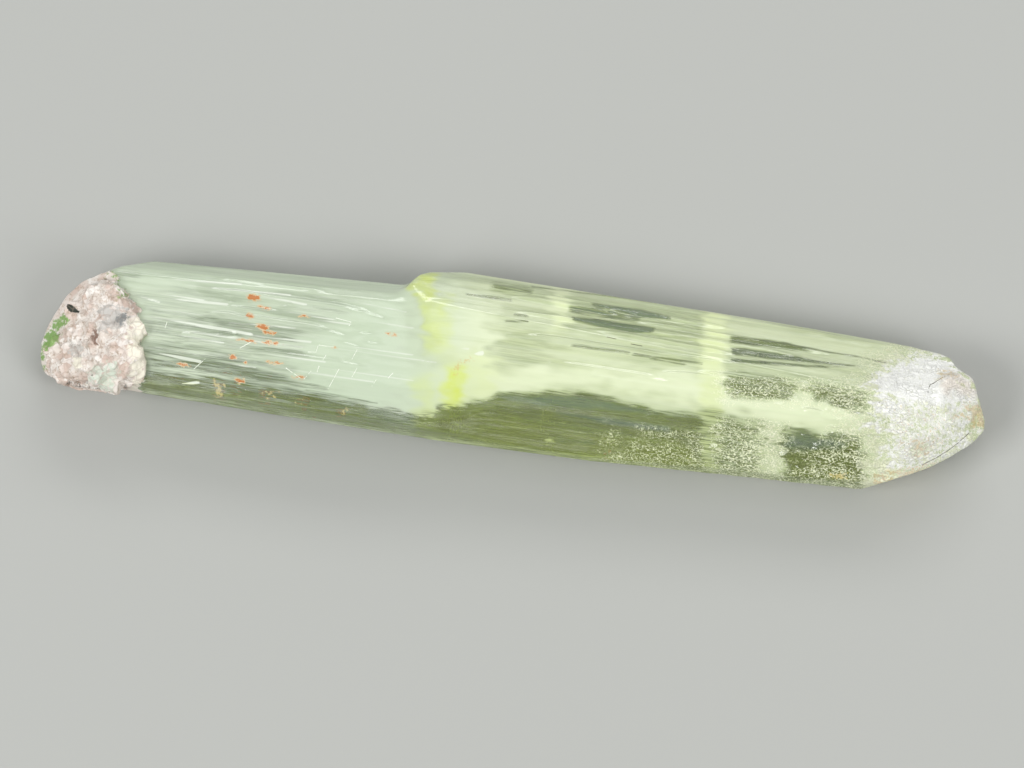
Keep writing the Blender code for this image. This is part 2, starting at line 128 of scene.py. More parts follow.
class Bench:
    """The steps that every piece goes through."""

    @staticmethod
    def pick(obj: bpy.types.Object) -> None:
        """Makes an object the only selected and the active one.

        Args:
            obj: The object.
        """
        for other in bpy.context.view_layer.objects:
            other.select_set(False)
        obj.select_set(True)
        bpy.context.view_layer.objects.active = obj

    @staticmethod
    def added(name: str, mesh: bpy.types.Mesh) -> bpy.types.Object:
        """Puts a mesh into the scene.

        Args:
            name: The new object's name.
            mesh: Its mesh.

        Returns:
            The object.
        """
        obj = bpy.data.objects.new(name, mesh)
        bpy.context.scene.collection.objects.link(obj)
        return obj

    @staticmethod
    def edit(obj: bpy.types.Object, operator: Callable, **settings: object) -> None:
        """Runs an edit operator on all of an object.

        Args:
            obj: The object.
            operator: The operator.
            settings: The operator's settings.
        """
        Bench.pick(obj)
        bpy.ops.object.mode_set(mode="EDIT")
        bpy.ops.mesh.select_all(action="SELECT")
        operator(**settings)
        bpy.ops.object.mode_set(mode="OBJECT")

    @staticmethod
    def merged_copy(node: str, name: str) -> bpy.types.Object:
        """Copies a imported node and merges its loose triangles.

        Args:
            node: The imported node's name.
            name: The copy's name.

        Returns:
            The copy, in the scene.
        """
        mesh = frame["nodes"][node].data.copy()
        mesh.name = name
        mesh.materials.clear()
        obj = Bench.added(name, mesh)
        Bench.edit(obj, bpy.ops.mesh.remove_doubles, threshold=1e-6)
        return obj

    @staticmethod
    def apply(obj: bpy.types.Object) -> None:
        """Applies every modifier of an object, in order.

        Args:
            obj: The object.
        """
        Bench.pick(obj)
        for modifier in list(obj.modifiers):
            bpy.ops.object.modifier_apply(modifier=modifier.name)

    @staticmethod
    def regrain(obj: bpy.types.Object, cell: float, squeeze: float = 1.0) -> None:
        """Remeshes an object in cells that may be longer along X, and lays them back on its surface.

        Args:
            obj: The object to remesh.
            cell: The cell's size across X, in millimetres.
            squeeze: The cell's size across X over its size along X.
        """
        target = Bench.added("target", obj.data.copy())
        obj.data.transform(Matrix.Diagonal((squeeze, 1.0, 1.0, 1.0)))
        remesh = obj.modifiers.new("cells", "REMESH")
        remesh.mode = "VOXEL"
        remesh.voxel_size = cell * MM
        Bench.apply(obj)
        obj.data.transform(Matrix.Diagonal((1.0 / squeeze, 1.0, 1.0, 1.0)))
        wrap = obj.modifiers.new("seat", "SHRINKWRAP")
        wrap.target = target
        Bench.apply(obj)
        bpy.data.objects.remove(target)

    @staticmethod
    def smooth(obj: bpy.types.Object, rounds: int, group: str = "") -> None:
        """Smooths an object.

        Args:
            obj: The object.
            rounds: How many times.
            group: The vertex group that says how far, or nothing for all over.
        """
        smooth = obj.modifiers.new("wear", "SMOOTH")
        smooth.factor = 0.5
        smooth.iterations = rounds
        smooth.vertex_group = group
        Bench.apply(obj)

    @staticmethod
    def rod(sides: int, radius: float, length: float) -> bpy.types.Object:
        """Adds a small upright prism, to be shaped and then copied."""
        bpy.ops.mesh.primitive_cylinder_add(vertices=sides, radius=radius, depth=length)
        return bpy.context.active_object

    @staticmethod
    def taper(obj: bpy.types.Object, share: float) -> None:
        """Narrows a small shape's upper end face.

        Args:
            obj: The shape.
            share: The end's new width over its old one.
        """
        Bench.pick(obj)
        bpy.ops.object.mode_set(mode="EDIT")
        bpy.ops.mesh.select_mode(type="FACE")
        bpy.ops.mesh.select_all(action="DESELECT")
        bpy.ops.object.mode_set(mode="OBJECT")
        for face in obj.data.polygons:
            face.select = face.normal.z > 0.9
        bpy.ops.object.mode_set(mode="EDIT")
        bpy.ops.transform.resize(value=(share, share, 1.0))
        bpy.ops.object.mode_set(mode="OBJECT")

    @staticmethod
    def chamfer(obj: bpy.types.Object, width: float) -> None:
        """Takes the sharp edges off a small shape."""
        Bench.edit(obj, bpy.ops.mesh.bevel, offset=width, offset_type="OFFSET", segments=1, affect="EDGES")

    @staticmethod
    def rows(source: bpy.types.bpy_prop_collection, name: str) -> np.ndarray:
        """Reads one vector of each item.

        Args:
            source: The items.
            name: The vector's name.

        Returns:
            Rows of x, y, z.
        """
        values = np.empty(len(source) * 3, np.float32)
        source.foreach_get(name, values)
        return values.reshape(-1, 3).astype(float)

    @staticmethod
    def points(obj: bpy.types.Object) -> np.ndarray:
        """The object's vertices as rows of x, y, z in millimetres."""
        return Bench.rows(obj.data.vertices, "co") / MM

    @staticmethod
    def normals(obj: bpy.types.Object) -> np.ndarray:
        """The object's vertex normals as rows."""
        return Bench.rows(obj.data.vertex_normals, "vector")

    @staticmethod
    def lay(obj: bpy.types.Object, points: np.ndarray) -> None:
        """Puts the object's vertices at rows of x, y, z in millimetres."""
        obj.data.vertices.foreach_set("co", (points * MM).astype(np.float32).ravel())
        obj.data.update()

    @staticmethod
    def sink(obj: bpy.types.Object, box: tuple, depth: np.ndarray) -> None:
        """Sinks vertices along their normals by a depth in millimetres, inside a box in metres."""
        low, high = (np.array(corner) / MM for corner in box)
        Bench.lay(obj, np.clip(Bench.points(obj) - Bench.normals(obj) * depth[:, None], low, high))

    @staticmethod
    def store(obj: bpy.types.Object, name: str, values: np.ndarray) -> None:
        """Keeps one value for each vertex as an attribute that materials can read."""
        attribute = obj.data.attributes.new(name, "FLOAT", "POINT")
        attribute.data.foreach_set("value", values.astype(np.float32))

    @staticmethod
    def scatter(name: str, pattern: bpy.types.Object, places: list[Matrix]) -> bpy.types.Object:
        """Joins copies of a small shape into one mesh, and removes the shape.

        Args:
            name: The new piece's name.
            pattern: The shape to copy.
            places: Where each copy goes, in metres.

        Returns:
            The joined piece.
        """
        corners = np.array([(*vertex.co, 1.0) for vertex in pattern.data.vertices])
        faces = [tuple(face.vertices) for face in pattern.data.polygons]
        points = np.vstack([(corners @ np.array(place).T)[:, :3] for place in places])
        count = len(corners)
        every = [tuple(v + count * i for v in face) for i in range(len(places)) for face in faces]
        mesh = bpy.data.meshes.new(name)
        mesh.from_pydata(points.tolist(), [], every)
        bpy.data.objects.remove(pattern)
        return Bench.added(name, mesh)

    @staticmethod
    def finish(obj: bpy.types.Object, slot: str, nodes: tuple[str, ...] = (), smooth: bool = True) -> None:
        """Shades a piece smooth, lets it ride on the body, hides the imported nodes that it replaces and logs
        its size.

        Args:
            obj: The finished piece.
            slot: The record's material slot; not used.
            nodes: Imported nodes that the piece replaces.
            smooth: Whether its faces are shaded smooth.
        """
        Bench.pick(obj)
        if smooth:
            bpy.ops.object.shade_smooth()
        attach(obj, BODY)
        if nodes:
            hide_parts(*nodes)
        log.info("%s: %d faces", obj.name, len(obj.data.polygons))


class Knot(Enum):
    """The kinds of node: type, fixed settings, the sockets fed in order, and the output that is used."""

    WHERE = ("TexCoord", {}, (), "Object")
    PLACE = ("Mapping", {}, ("Vector", "Scale"), "Vector")
    NOISE = ("TexNoise", {}, ("Vector", "Scale", "Detail", "Roughness"), "Fac")
    CELLS = ("TexVoronoi", {}, ("Vector", "Scale"), "Color")
    SEAMS = ("TexVoronoi", {"feature": "DISTANCE_TO_EDGE"}, ("Vector", "Scale"), "Distance")
    SPLIT = ("SeparateColor", {}, ("Color",), 0)
    MASK = ("Attribute", {}, (), "Fac")
    MIX = ("Mix", {"data_type": "RGBA"}, (0, 6, 7), 2)
    SPAN = ("MapRange", {"interpolation_type": "SMOOTHSTEP"}, (0, 1, 2, 3, 4), 0)
    PLUS = ("Math", {"operation": "ADD"}, (0, 1), 0)
    MINUS = ("Math", {"operation": "SUBTRACT"}, (0, 1), 0)
    TIMES = ("Math", {"operation": "MULTIPLY"}, (0, 1), 0)
    POWER = ("Math", {"operation": "POWER"}, (0, 1), 0)
    MOST = ("Math", {"operation": "MAXIMUM"}, (0, 1), 0)
    SIZE = ("Math", {"operation": "ABSOLUTE"}, (0,), 0)
    BUMP = ("Bump", {}, ("Height", "Distance", "Normal"), 0)
    ABSORB = ("VolumeAbsorption", {}, ("Color", "Density"), 0)


class Shade:
    """A material under construction."""

    def __init__(self, name: str) -> None:
        """Starts a material with a Principled shader.

        Args:
            name: The material's name.
        """
        self.material = bpy.data.materials.new(name)
        self.material.use_nodes = True
        self.tree = self.material.node_tree
        self.where = self.add(Knot.WHERE)

    def feed(self, socket: bpy.types.NodeSocket, value: object) -> None:
        """Links or sets an input.

        Args:
            socket: The input.
            value: An output to link, a value, or an sRGB hex colour.
        """
        if isinstance(value, bpy.types.NodeSocket):
            self.tree.links.new(value, socket)
        else:
            socket.default_value = linear(value) if isinstance(value, str) else value

    def add(self, knot: Knot, *inputs: object, **settings: object) -> bpy.types.NodeSocket:
        """Adds a node with its settings and links.

        Args:
            knot: Its kind.
            inputs: What goes to the kind's inputs, in their order, as feed takes it.
            settings: Its own properties.

        Returns:
            The output that the kind uses.
        """
        kind, fixed, sockets, output = knot.value
        node = self.tree.nodes.new("ShaderNode" + kind)
        for key, value in {**fixed, **settings}.items():
            setattr(node, key, value)
        for key, value in zip(sockets, inputs):
            self.feed(node.inputs[key], value)
        return node.outputs[output]

    def pattern(self, knot: Knot, cell: Cell, *inputs: object) -> bpy.types.NodeSocket:
        """Lays a texture on the object's own coordinates.

        Args:
            knot: The texture's kind.
            cell: The size of its cells along each axis, in millimetres.
            inputs: What goes to its inputs after the scale.

        Returns:
            The texture's output.
        """
        place = self.add(Knot.PLACE, self.where, [1.0 / (side * MM) for side in cell])
        return self.add(knot, place, 1.0, *inputs)

    def frayed(self, share: object, pattern: object, amount: float) -> bpy.types.NodeSocket:
        """Gives a soft mask a ragged border.

        Args:
            share: The mask.
            pattern: A noise from 0 to 1.
            amount: How far the noise moves the border.

        Returns:
            The ragged mask.
        """
        sway = self.add(Knot.SPAN, pattern, 0.3, 0.7, -0.5 * amount, 0.5 * amount)
        border = self.add(Knot.SPAN, self.add(Knot.PLUS, share, sway), 0.30, 0.70)
        return self.add(Knot.TIMES, border, self.add(Knot.SPAN, share, 0.02, 0.15))

    def dress(self, **inputs: object) -> bpy.types.Material:
        """Feeds the Principled shader.

        Args:
            inputs: Its inputs by name, with spaces as underscores, and what goes to them.

        Returns:
            The material.
        """
        surface = self.tree.nodes["Principled BSDF"]
        for key, value in inputs.items():
            self.feed(surface.inputs[key.replace("_", " ")], value)
        return self.material


@dataclass(frozen=True)
class Sight:
    """The photograph's view. Places in it are millimetres right of and above its middle."""

    azimuth: float = 9.0
    elevation: float = 67.0
    lens: float = 400.0
    sensor: float = 36.0
    width: float = 102.4
    middle: tuple[float, float, float] = (0.045, -1.538, 4.05)
    nearest: float = 50.0

    @property
    def axes(self) -> np.ndarray:
        """The view's directions.

        Returns:
            Rows: its right, its up, and the way back to the camera.
        """
        turn, rise = math.radians(self.azimuth), math.radians(self.elevation)
        right = (math.cos(turn), math.sin(turn), 0.0)
        back = (math.sin(turn) * math.cos(rise), -math.cos(turn) * math.cos(rise), math.sin(rise))
        return np.array([right, np.cross(back, right), back])

    @property
    def distance(self) -> float:
        """How far the camera stands from the middle, in millimetres."""
        return self.width * self.lens / self.sensor

    def seen(self, points: np.ndarray) -> tuple[np.ndarray, np.ndarray]:
        """Where points show in the view.

        Args:
            points: Rows of x, y, z in millimetres.

        Returns:
            How far right of and how far above the middle each one shows.
        """
        across, up, near = ((points - np.array(self.middle)) @ self.axes.T).T
        scale = self.distance / (self.distance - near)
        return across * scale, up * scale

    def ray(self, across: float, up: float) -> tuple[Vector, Vector]:
        """Looks at a spot in the view.

        Args:
            across: How far right of the middle the spot is.
            up: How far above the middle the spot is.

        Returns:
            The camera's place, in metres, and the way from it to the spot.
        """
        right, rise, back = (Vector(axis) for axis in self.axes)
        eye = Vector(self.middle) + back * self.distance
        spot = Vector(self.middle) + right * across + rise * up
        return eye * MM, (spot - eye).normalized()

    def camera(self) -> None:
        """Makes the scene's camera."""
        eye, way = self.ray(0.0, 0.0)
        data = bpy.data.cameras.new("camera")
        data.lens = self.lens
        data.sensor_width = self.sensor
        data.clip_start = self.nearest * MM
        camera = bpy.data.objects.new("camera", data)
        camera.location = eye
        camera.rotation_euler = way.to_track_quat("-Z", "Y").to_euler()
        bpy.context.scene.collection.objects.link(camera)
        bpy.context.scene.camera = camera


SIGHT = Sight()

# In the view the crystal's long edges fall by this much for each millimetre to the right
FALL = 0.146


class Look(Enum):
    """What an area sets on the surface it covers."""

    MILK = "milk"
    OPEN = "open"
    BLADE = "blade"
    FLAKE = "flake"
    ETCH = "etch"
    FROST = "frost"
    YELLOW = "yellow"
    TEAL = "teal"
    RUST = "rust"
    PINK = "pink"
    COAT = "coat"
    MOSS = "moss"
    NEEDLE = "needle"
    QUARTZ = "quartz"
    SLATE = "slate"
    CLEFT = "cleft"
    PALE = "pale"
    GLASS = "glass"


# Looks kept as the distance to their border, so that it stays sharp
CRISP = (Look.OPEN, Look.BLADE, Look.FLAKE)
# Looks of the rock crust, and those of them that the crystal's rim beside it shows too
ROCKY = (Look.MOSS, Look.NEEDLE, Look.QUARTZ, Look.SLATE, Look.CLEFT, Look.PALE, Look.GLASS)
RIM = (Look.MOSS, Look.PALE)


@dataclass(frozen=True)
class Zone:
    """An area given by the corners of its outline in the photograph's view.

    A zone goes right through the object along that view, so it shows on every side.
    """

    value: float
    feather: float
    outline: Path

    def inset(self, across: np.ndarray, up: np.ndarray, reach: float = 1.5) -> np.ndarray:
        """How far inside the outline each place is.

        Args:
            across: How far right of the view's middle each place shows.
            up: How far above the view's middle each place shows.
            reach: The farthest distance that is worked out.

        Returns:
            The distance to the outline in millimetres, negative outside.
        """
        corners = np.array(self.outline)
        low, high = corners.min(0) - reach, corners.max(0) + reach
        close = (across > low[0]) & (across < high[0]) & (up > low[1]) & (up < high[1])
        spots = np.stack([across[close], up[close]], 1)
        nearest = np.full(len(spots), reach)
        inside = np.zeros(len(spots), bool)
        for start, end in zip(corners, np.roll(corners, -1, 0)):
            side = end - start
            along = np.clip(((spots - start) @ side) / (side @ side), 0.0, 1.0)
            nearest = np.minimum(nearest, np.linalg.norm(spots - start - along[:, None] * side, axis=1))
            rise = side[1] if abs(side[1]) > 1e-9 else 1e-9
            crosses = (start[1] > spots[:, 1]) != (end[1] > spots[:, 1])
            inside ^= crosses & (spots[:, 0] < start[0] + (spots[:, 1] - start[1]) / rise * side[0])
        result = np.full(len(across), -reach)
        result[close] = np.where(inside, nearest, -nearest)
        return result


def blade(start: Spot, end: Spot, width: float) -> Zone:
    """A white streak, partly a milky growth streak and partly a painted glint, that starts as a point and ends
    bluntly.

    Args:
        start: Its point in the view.
        end: The middle of its blunt end.
        width: Its width at that end.

    Returns:
        The zone.
    """
    half = 0.5 * width
    middle = (0.4 * start[0] + 0.6 * end[0], 0.4 * start[1] + 0.6 * end[1])
    outline = (start, (middle[0], middle[1] + half), (end[0], end[1] + half), (end[0], end[1] - half))
    return Zone(1.0, 0.0, (*outline, (middle[0], middle[1] - half)))


def flake(middle: Spot, length: float, height: float, dice: random.Random, corners: int = 9) -> Zone:
    """A ragged rust flake, long along the crystal.

    Args:
        middle: Its middle in the view.
        length: Its length along the crystal.
        height: Its height across that.
        dice: Where its raggedness comes from.
        corners: How many corners its outline has.

    Returns:
        The zone.
    """
    outline = []
    for step in range(corners):
        turn = math.tau * step / corners
        reach = dice.uniform(0.65, 1.15)
        along, off = 0.68 * length * reach * math.cos(turn), 0.78 * height * reach * math.sin(turn)
        outline.append((middle[0] + along + FALL * off, middle[1] + off - FALL * along))
    return Zone(1.0, 0.0, tuple(outline))


# The zones of each look: value, half width of the soft border, outline. A later one covers an earlier one
AREAS: dict[Look, tuple[tuple[float, float, Path], ...]] = {
    Look.MILK: (
        # Milk of the root half: a darker middle, a bright mint right part and a bright band along the back,
        # partly a painted highlight
        (0.68, 1.0, ((-36.4, 7.8), (-28.2, 7.2), (-21.2, 5.4), (-21.2, 3.2), (-28.2, 1.8), (-36.2, 2.6))),
        (0.55, 0.8, ((-36.4, 3.2), (-31.2, 2.8), (-21.2, 0.8), (-18.2, -0.6), (-25.2, 0.2), (-36.4, 1.4))),
        (0.97, 2.0, ((-20.2, 3.2), (-16.2, 7.8), (-10.2, 9.6), (-9.2, -2.4), (-16.7, -1.2), (-20.7, 0.2))),
        # The bright band along the back: partly milk, partly a painted highlight on the back edge
        (0.85, 0.5, ((-37.2, 12.0), (-21.2, 11.2), (-10.4, 10.0), (-10.4, 9.2), (-21.2, 9.4), (-37.2, 10.0))),
        # Milk of the tip half: bright after the step, a calmer middle, and the bright band to the tip, partly a
        # painted sheen
        (0.97, 1.5, ((-8.8, 9.8), (-1.7, 8.4), (-1.2, 3.4), (-8.0, 2.8))),
        (0.72, 1.5, ((-2.4, 5.9), (3.3, 4.9), (4.8, 1.6), (-1.2, 1.6))),
        (0.7, 0.8, ((4.8, 8.8), (19.2, 7.2), (19.2, 3.9), (4.8, 5.4))),
        # The bright band to the tip: partly milk, partly a painted sheen along the ridge above the lower bevel
        (0.97, 1.2, ((-5.7, -0.1), (0.8, 1.2), (8.8, 1.4), (18.8, 0.8), (24.8, -0.8), (31.8, -1.6),
            (35.8, -3.6), (28.8, -4.1), (22.8, -2.6), (18.8, -1.8), (13.8, -0.6), (8.8, 0.2), (2.8, -0.4),
            (-3.2, -1.6))),
        (0.45, 0.3, ((-1.9, 10.1), (1.8, 9.6), (1.8, 9.0), (-1.9, 9.5))),
        (0.8, 0.5, ((21.8, 6.2), (38.8, 3.4), (38.8, 2.2), (34.8, 2.2), (21.8, 5.0))),
        (0.3, 0.15, ((21.96, 4.75), (23.3, 4.7), (28.1, 4.04), (30.1, 3.2), (26.3, 3.65), (21.96, 4.2))),
        (0.35, 0.15, ((5.7, 7.8), (8.8, 7.6), (12.8, 6.7), (12.4, 6.3), (8.8, 6.8), (5.7, 7.2))),
        # The clear lower bevel of the root half
        (0.3, 0.4, ((-37.2, 1.2), (-30.7, 0.6), (-25.2, -0.2), (-18.2, -1.4), (-14.2, -2.3), (-10.5, -2.8),
            (-9.0, -3.1), (-5.0, -3.0), (-5.0, -7.4), (-37.2, -3.4))),
        # The lower bevel of the tip half, and the clear patches between the etched ones
        (0.24, 0.42, ((-7.5, -2.9), (-4.1, -1.9), (-2.1, -1.45), (-1.4, -0.9), (0.9, -1.0), (2.2, -0.8),
            (5.7, -0.8), (8.3, -1.2), (10.5, -1.65), (12.6, -2.2), (14.8, -2.85), (18.8, -3.0),
            (22.0, -4.0), (22.0, -11.0), (8.8, -9.6), (-9.0, -7.2))),
        (0.32, 0.5, ((20.8, -0.4), (21.9, 1.0), (23.3, 1.1), (28.7, 0.0), (27.8, -1.5), (24.8, -1.6),
            (22.3, -1.2))),
        (0.26, 0.6, ((29.4, -0.4), (30.3, -0.1), (35.2, -1.0), (35.0, -2.4), (32.6, -2.2), (30.3, -1.5))),
        (0.42, 0.9, ((20.4, -3.4), (23.3, -4.0), (24.8, -4.4), (24.8, -7.1), (23.8, -11.4), (20.4, -11.0))),
        (0.14, 0.7, ((27.3, -4.6), (34.6, -5.4), (35.2, -11.4), (27.8, -11.2), (27.1, -7.1))),
        # Bright under the step and in the bands on the broad face, clearer in those on the bevel
        (0.99, 0.8, ((-10.6, 0.8), (-3.0, 3.0), (-1.4, 0.2), (-4.4, -1.4), (-7.0, -2.3), (-10.6, -2.2))),
        (0.97, 0.8, ((19.4, 7.6), (21.2, 7.4), (21.2, -2.6), (19.0, -2.4))),
        (0.6, 0.6, ((18.9, -2.6), (20.9, -2.8), (20.7, -10.8), (18.9, -10.6))),
        (0.24, 0.5, ((2.7, -2.2), (4.3, -2.2), (4.1, -7.4), (2.5, -7.2))),
        (0.22, 0.6, ((-7.2, -2.1), (-5.0, -2.1), (-5.4, -7.2), (-7.4, -7.2))),
        (0.96, 0.8, ((4.0, 9.6), (5.7, 9.4), (5.7, 5.8), (4.2, 5.8))),
        # The lower rim shows a pale line, a painted edge highlight
        (0.46, 0.16, ((-36.6, -0.45), (-11.2, -4.85), (18.8, -8.65), (34.5, -10.05), (34.5, -11.4),
            (18.8, -10.2), (-11.2, -6.4), (-36.6, -2.0))),
        (0.55, 0.14, ((3.4, -5.5), (4.15, -5.45), (4.2, -5.85), (3.5, -5.95))),
    ),
    Look.TEAL: (
        # Clear stone with a bluish tint
        (1.0, 0.5, ((5.0, 9.0), (20.0, 7.0), (20.0, 3.0), (5.0, 5.0))),
        (0.7, 0.6, ((21.0, 4.8), (36.0, 2.4), (36.0, 1.2), (21.0, 1.4))),
        (0.6, 0.6, ((-14.0, -1.6), (-9.6, -3.0), (-9.6, -4.4), (-14.0, -3.4))),
        (1.0, 0.3, ((-1.6, -1.2), (0.9, -1.3), (5.7, -1.1), (9.6, -1.8), (14.6, -3.0), (9.0, -2.6),
            (3.0, -2.2))),
        (1.0, 0.22, ((4.4, -2.9), (9.8, -3.5), (12.0, -3.7), (15.7, -4.3), (15.8, -4.8), (11.4, -4.4))),
        (0.9, 0.2, ((4.4, -5.4), (8.4, -5.7), (8.4, -6.0), (4.4, -6.0))),
        (0.8, 0.5, ((27.4, -4.8), (34.0, -5.5), (33.0, -6.4), (28.8, -6.6), (27.4, -6.4))),
    ),
    Look.ETCH: (
        # Etch figures: thin over the lower bevel, dense before the termination, closed to frost on it
        (0.1, 1.2, ((8.8, -3.6), (18.8, -4.0), (20.4, -10.0), (8.8, -8.6))),
        (0.17, 0.9, ((12.8, -5.2), (18.8, -5.2), (18.8, -8.6), (8.8, -7.8))),
        (0.3, 0.9, ((20.4, 1.2), (28.8, 0.4), (35.8, -0.6), (35.3, -2.8), (28.8, -2.0), (20.4, -1.6))),
        (0.3, 0.9, ((20.4, -3.4), (24.8, -4.0), (24.8, -10.2), (20.4, -9.6))),
        (0.5, 1.0, ((24.5, -3.4), (27.5, -4.0), (28.0, -7.6), (27.3, -10.2), (24.0, -10.2))),
        (0.08, 0.7, ((27.0, -4.6), (34.8, -5.2), (34.8, -6.4), (30.6, -7.4), (29.8, -9.0), (27.0, -9.0))),
        (0.32, 1.2, ((28.8, -7.4), (35.8, -6.2), (35.8, -10.8), (28.3, -10.6))),
        (0.55, 1.6, ((32.6, 0.0), (36.0, 0.8), (36.8, -9.6), (33.8, -10.2))),
        (1.0, 1.6, ((35.4, 2.2), (38.8, 3.4), (44.0, 3.4), (47.8, -1.6), (47.8, -6.6), (38.8, -10.6),
            (35.0, -11.0), (36.0, -5.6))),
    ),
    Look.FROST: (
        # Frost: where the etched surface is white all over
        (1.0, 2.2, ((36.4, 1.2), (39.3, 2.6), (44.0, 3.2), (46.4, 0.4), (46.4, -2.8), (41.8, -2.4),
            (36.8, -2.8))),
        (0.6, 2.4, ((36.8, -2.4), (46.8, -2.4), (47.8, -6.6), (38.8, -10.6), (36.8, -8.6))),
    ),
    Look.YELLOW: (
        # Yellow-green: the step, the lower bevels, and two healed fractures across the crystal
        (0.8, 0.6, ((-10.4, 9.8), (-8.8, 11.3), (-7.6, 11.2), (-7.8, 8.4), (-8.4, 5.4), (-8.8, 5.4),
            (-9.0, 8.4), (-9.8, 9.0))),
        (0.55, 0.7, ((-8.8, 8.4), (-6.2, 8.8), (-6.4, 3.4), (-8.6, 3.2))),
        (0.22, 1.0, ((-7.2, 3.2), (-2.2, 3.4), (-1.2, -1.1), (-4.2, -2.4), (-7.2, -2.6))),
        (0.36, 0.7, ((-9.9, 0.4), (-8.2, 1.0), (-7.2, -2.6), (-9.2, -3.0))),
        (1.0, 0.6, ((-6.3, 1.8), (-4.8, 2.0), (-4.2, 1.2), (-5.0, -0.8), (-5.0, -2.6), (-5.6, -6.2),
            (-6.9, -6.2), (-6.6, -2.6), (-6.8, -0.1))),
        (0.58, 0.6, ((-9.7, -2.8), (-3.2, -2.4), (4.8, -4.6), (16.8, -5.6), (18.8, -8.6), (4.8, -7.6),
            (-9.7, -5.6))),
        (0.16, 0.8, ((4.0, 9.6), (5.7, 9.4), (5.7, 5.4), (4.2, 5.4))),
        (0.45, 0.45, ((2.7, -2.2), (4.3, -2.2), (4.1, -7.4), (2.5, -7.2))),
        (0.26, 0.9, ((19.0, 7.9), (21.4, 7.6), (21.0, -1.6), (20.4, -10.6), (18.2, -10.4), (18.8, -1.6))),
        (0.55, 0.6, ((-9.6, -2.9), (-6.9, -2.9), (-6.9, -7.2), (-9.6, -6.8))),
        (0.32, 0.5, ((-37.0, 0.5), (-20.0, -2.4), (-10.0, -4.2), (-10.0, -7.0), (-37.0, -3.0))),
    ),
    Look.RUST: (
        # Iron stains on the step, in the root half's bevel, and on the termination
        (0.55, 0.45, ((-6.2, 1.2), (-5.6, 2.1), (-4.4, 2.7), (-3.9, 2.4), (-5.0, 1.7), (-5.8, 0.8))),
        (0.5, 0.35, ((-30.0, 0.6), (-28.7, 0.4), (-28.7, -1.7), (-29.9, -1.6))),
        (0.42, 0.3, ((-24.8, -0.5), (-23.2, -0.6), (-23.2, -1.7), (-24.8, -1.5))),
        (0.42, 0.3, ((-21.8, -1.3), (-20.7, -1.4), (-20.8, -2.1), (-21.9, -2.0))),
        (0.45, 0.3, ((-17.2, -2.3), (-16.4, -2.4), (-16.4, -3.3), (-17.2, -3.1))),
        (0.55, 0.5, ((42.4, 1.4), (43.6, 1.8), (45.0, 1.0), (44.6, 0.4), (42.8, 0.7))),
        (0.6, 0.5, ((43.6, -2.8), (44.8, -2.6), (45.0, -3.5), (43.8, -3.6))),
        (0.75, 0.6, ((45.2, -2.0), (47.2, -2.0), (47.4, -4.6), (46.2, -4.6))),
        (0.2, 1.2, ((37.2, -1.8), (43.8, -2.6), (44.4, -7.2), (38.8, -6.6))),
        (0.5, 0.6, ((40.0, -5.6), (41.8, -6.0), (41.6, -7.4), (39.8, -7.2))),
        (0.5, 0.5, ((35.8, -9.0), (42.6, -7.8), (41.8, -9.2), (36.8, -10.8))),
        (0.6, 0.4, ((31.8, -8.8), (33.6, -8.8), (33.6, -9.6), (31.8, -9.6))),
    ),
    Look.PINK: (
        # A pinkish breath on the termination
        (0.6, 0.8, ((43.4, 1.0), (45.4, 0.8), (46.4, -0.4), (46.0, -1.3), (43.8, -0.8), (42.8, 0.0))),
    ),
    Look.COAT: (
        # Rock and stains coat the root's rim
        (1.0, 0.35, ((-48.2, -1.6), (-48.2, 5.4), (-45.2, 10.4), (-42.4, 12.2), (-40.6, 11.6),
            (-39.6, 11.2), (-39.2, 10.0), (-37.2, 7.4), (-37.2, -1.6))),
    ),
    Look.MOSS: (
        # Bright green grains
        (0.45, 0.5, ((-40.8, 11.6), (-40.0, 12.2), (-38.6, 12.1), (-38.8, 10.4), (-38.0, 8.8), (-39.4, 8.4),
            (-40.0, 10.2))),
        (0.7, 0.45, ((-46.0, 5.4), (-45.9, 6.5), (-44.8, 7.0), (-44.3, 6.7), (-44.6, 5.8), (-45.4, 5.4))),
        (0.85, 0.4, ((-47.2, 3.2), (-46.9, 4.8), (-46.2, 5.4), (-45.2, 5.0), (-45.6, 3.9), (-46.4, 3.6))),
        (0.58, 0.5, ((-48.2, 0.2), (-47.8, 3.4), (-46.7, 3.6), (-46.9, 0.6))),
    ),
    Look.NEEDLE: (
        # A dark needle
        (1.0, 0.12, ((-44.75, 7.95), (-44.3, 8.0), (-43.2, 7.3), (-43.3, 7.1), (-44.1, 7.2))),
    ),
    Look.QUARTZ: (
        # Grey quartz, and a darker grain of it
        (0.75, 0.8, ((-41.5, 7.9), (-38.6, 8.0), (-38.0, 6.6), (-39.0, 5.2), (-41.2, 5.4))),
        (0.6, 0.5, ((-44.6, 4.2), (-42.8, 4.4), (-42.4, 2.8), (-44.2, 2.4))),
    ),
    Look.SLATE: (
        (0.75, 0.35, ((-39.4, 7.0), (-38.4, 7.4), (-38.2, 6.6), (-39.2, 5.8), (-39.6, 6.0))),
    ),
    Look.CLEFT: (
        # Brown clefts
        (0.9, 0.3, ((-42.0, 5.6), (-41.4, 5.4), (-41.5, 3.8), (-42.1, 3.8))),
        (0.6, 0.25, ((-43.4, 4.6), (-41.8, 4.4), (-41.8, 4.2), (-43.4, 4.3))),
    ),
    Look.PALE: (
        # Pale rims, which are painted highlights on the rock's edge beside the crystal, and cleavage faces, and
        # a glassy one
        (0.72, 0.8, ((-38.6, 6.6), (-37.2, 7.2), (-36.2, 5.4), (-36.2, -0.8), (-38.0, -0.8), (-38.4, 2.4))),
        (0.85, 0.35, ((-44.0, 2.8), (-43.2, 2.9), (-43.0, 1.6), (-43.8, 1.4))),
    ),
    Look.GLASS: (
        (0.62, 0.7, ((-42.2, 2.0), (-39.4, 2.4), (-39.2, -0.2), (-40.4, -1.2), (-42.4, 0.2))),
    ),
}

